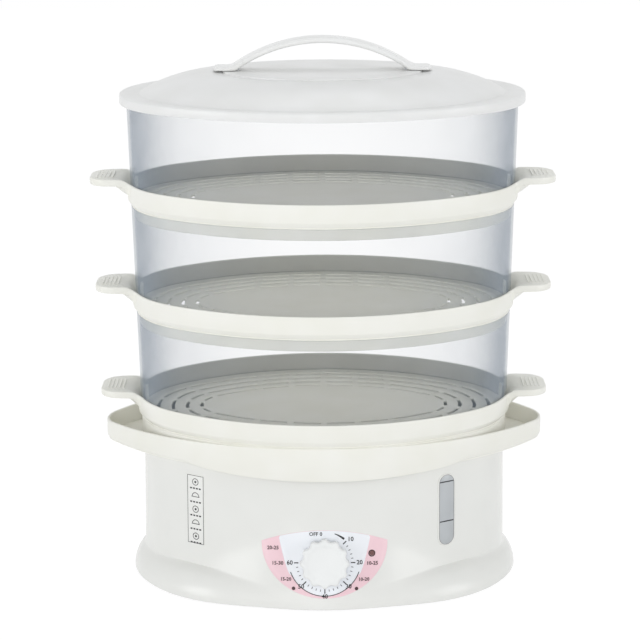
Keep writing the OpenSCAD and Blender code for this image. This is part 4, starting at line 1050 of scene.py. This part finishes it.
def makeKnob():
    s = knobSizes
    place = Matrix.Translation(dialCentre) @ Matrix((dialRight, dialUp, dialOut)).transposed().to_4x4()
    low, top = s["gap"], s["gap"] + s["height"]
    levels = [(0.3, low), (0, low + 0.4), (0, top - 1.6), (0.12, top - 0.9), (0.45, top - 0.35),
        (1.0, top - 0.06), (1.6, top), (3.2, top), (4.2, top - 0.25)]
    turns = [2 * pi * i / 360 for i in range(360)]
    rings = []
    for inset, z in levels:
        reaches = [knobReach(a, inset) for a in turns]
        rings.append([place @ Vector((r * cos(a), r * sin(a), z)) for r, a in zip(reaches, turns)])
    for radius, drop in ((s["dish"], 0.25), (s["dish"] - 1, 0.3), (5, 0.3), (0.01, 0.3)):
        rings.append([place @ Vector((x, y, top - drop)) for x, y in disc(0, 0, radius, 360)])
    knob = addMesh("timer_knob_form", *loft(rings, ring=False), sharp=40)
    half = s["markWidth"] / 2
    mark = boxMesh("timer_knob_mark", (-half, s["dish"], top - 0.4), (half, s["markEnd"], top + 0.02),
        0.15, place)
    placePiece(knob, "knobAbs", "timer_dial", "timer_knob")
    placePiece(mark, "knobAbs", "timer_dial", "timer_knob", replace=False)


makeKnob()

print("stage: gauge and table")
gaugePlace = frontPlace(baseSizes["gaugeX"], baseSizes["gaugeZ"])
gaugeSizes = {"upper": 86.6, "lower": 55.9, "lineHalf": 5.9, "lineWidth": 0.9}


def gaugeSlot(more):
    return slotOutline(baseSizes["gaugeWidth"] + more, baseSizes["gaugeHeight"] + more)


def frontFrame(name, outer, inner, low, high, finish, node):
    # a thin frame round the gauge, with its upper edges eased
    rings = [[gaugePlace @ Vector((x * sx, y * sy, z)) for x, y in outline] for outline, sx, sy, z in (
        (outer, 1, 1, low), (outer, 1, 1, high - 0.25), (outer, 0.97, 0.99, high),
        (inner, 1.03, 1.01, high), (inner, 1, 1, high - 0.25), (inner, 1, 1, low))]
    placePiece(addMesh(name, *loft(rings), sharp=40), finish, "base", node, replace=False)


window = prism("gauge_window_form", gaugeSlot(-0.4), -4, 0.35, gaugePlace, 0.35)
placePiece(window, "gaugeStyrene", "base", "gauge_window")
frontFrame("gauge_frame", gaugeSlot(1.6), gaugeSlot(-0.6), -0.6, 0.55, "baseAbs", "base_housing")
# a painted shade: a dark ring on the window's edge, where the gap round it lies in shadow
frontFrame("gauge_gap_shade", gaugeSlot(-0.3), gaugeSlot(-1.3), -0.2, 0.42, "printDarkAndShade", "gauge_window")
for name in ("upper", "lower"):
    y, half, wide = (gaugeSizes[name] - baseSizes["gaugeZ"], gaugeSizes["lineWidth"] / 2,
        gaugeSizes["lineHalf"])
    line = boxMesh("gauge_line_" + name, (-wide, y - half, 0.2), (wide, y + half, 0.42), 0.05,
        gaugePlace)
    placePiece(line, "printBlackAndShadow", "base", "gauge_window", replace=False)

tableSizes = {"x": -95.5, "halfWidth": 7.15, "halfHeight": 26.9, "rows": 5, "rowTop": 21.5,
    "rowPitch": 10.6, "frame": 0.35}
tablePlace = frontPlace(tableSizes["x"], baseSizes["gaugeZ"])
plate = boxMesh("time_plate_form", (-tableSizes["halfWidth"], -tableSizes["halfHeight"], -0.4),
    (tableSizes["halfWidth"], tableSizes["halfHeight"], 0.2), 0.15, tablePlace)
placePiece(plate, "labelWhite", "base", "time_plate")


def bar(x, y, width, height):
    return [(x + width / 2 * i, y + height / 2 * j) for i, j in ((-1, -1), (1, -1), (1, 1), (-1, 1))]


marks = []
for row in range(tableSizes["rows"]):    # each row: a small outlined sign over a plain caption bar
    y = tableSizes["rowTop"] - row * tableSizes["rowPitch"]
    if row % 2 == 0:
        marks += arcBand((0, y), 2.5, (0.5, 0.5), 0, 360, 20)
        marks.append(disc(0, y, 0.9, 12))
    else:
        marks += arcBand((0, y - 0.8), 3.0, (0.5, 0.5), -90, 90, 14)
        marks.append(bar(0, y - 0.9, 7.0, 0.5))
    marks += [bar(-3.9 + i * 2.6, y - 5.0, 1.7, 1.1) for i in range(4)]
line = tableSizes["frame"]
for side in (-1, 1):
    marks += [bar(0, side * 26.4, 14.0, line), bar(side * 6.9, 0, line, 53)]
inkFilm("time_plate_marks", marks, lambda x, y, z: tablePlace @ Vector((x, y, z)), (0.26, 0.1),
    "printBlackAndShadow", "time_plate", 32)

print("stage: camera and light")
view = {"lens": 115.4, "sensor": 36, "place": (-2.55, -1499.9, 589.1), "pitch": 0.258, "roll": -0.005}
cameraData = bpy.data.cameras.new("camera")
cameraData.lens = view["lens"]
cameraData.sensor_width = view["sensor"]
cameraData.clip_end = 20
camera = newObject("camera", cameraData)
camera.matrix_world = (Matrix.Translation([value * mm for value in view["place"]])
    @ Matrix.Rotation(pi / 2 - view["pitch"], 4, "X")
    @ Matrix.Rotation(view["roll"], 4, "Z"))
scene.camera = camera

light = {"world": 0.66, "size": 1.2,    # each lamp: power, place and aim, in watts and metres
    "leftSoftbox": (9.5, (-1.7, -1.2, 0.5), (0, 0, 0.22)),
    "rightSoftbox": (8.5, (1.75, -1.1, 0.46), (0, 0, 0.22)),
    "frontSoftbox": (5, (-0.2, -2.1, 0.62), (0, 0, 0.22)),
    "topSoftbox": (4.5, (0.1, 0.5, 2.0), (0, 0, 0.2))}
for name in ("leftSoftbox", "rightSoftbox", "frontSoftbox", "topSoftbox"):
    power, spot, aim = light[name]
    data = bpy.data.lights.new(name, "AREA")
    data.shape = "DISK"
    data.size = light["size"]
    data.energy = power
    lamp = newObject(name, data)
    lamp.location = spot
    lamp.rotation_euler = (Vector(aim) - Vector(spot)).to_track_quat("-Z", "Y").to_euler()


def plainView(tree):
    # 1 for rays from the eye, straight or by way of glass and gloss, which see plain white
    rays = addNode(tree, "ShaderNodeLightPath").outputs
    seen = addNode(tree, "ShaderNodeMath", {0: rays["Is Camera Ray"], 1: rays["Is Transmission Ray"]},
        operation="MAXIMUM")
    return addNode(tree, "ShaderNodeMath", {0: seen, 1: rays["Is Glossy Ray"]}, operation="MAXIMUM")


world = bpy.data.worlds.new("studio")
world.use_nodes = True
scene.world = world
tree = world.node_tree
tree.nodes.clear()
soft = addNode(tree, "ShaderNodeBackground", {"Color": linear("#f4f6f8"), "Strength": light["world"]})
bare = addNode(tree, "ShaderNodeBackground", {"Color": (1, 1, 1, 1), "Strength": 1.0})
mixed = addNode(tree, "ShaderNodeMixShader", {0: plainView(tree), 1: soft, 2: bare})
addNode(tree, "ShaderNodeOutputWorld", {"Surface": mixed})


def floorPaper():
    # studio paper, matt and uncoated: white to the camera, with part of the object's shadow kept
    tree, place = startMaterial("studioPaper")
    grain = addNode(tree, "ShaderNodeTexNoise", {"Vector": place, "Scale": 900.0})
    relief = addNode(tree, "ShaderNodeBump", {
        "Strength": 0.05, "Distance": reliefDepth, "Height": grain})
    paper = addNode(tree, "ShaderNodeBsdfDiffuse", {"Color": (0.9, 0.9, 0.9, 1), "Normal": relief})
    glow = addNode(tree, "ShaderNodeEmission", {"Color": (1, 1, 1, 1), "Strength": 1.1})
    share = addNode(tree, "ShaderNodeMath", {0: plainView(tree), 1: 0.85}, operation="MULTIPLY")
    mixed = addNode(tree, "ShaderNodeMixShader", {0: share, 1: paper, 2: glow})
    addNode(tree, "ShaderNodeOutputMaterial", {"Surface": mixed})


floorPaper()
floor = meshObject("floor", [(-4000, -4000, 0), (4000, -4000, 0), (4000, 4000, 0), (-4000, 4000, 0)],
    [], [(0, 1, 2, 3)])
floor.data.materials.append(finishes["studioPaper"])
scene.view_settings.view_transform = "Standard"

print("stage: done")
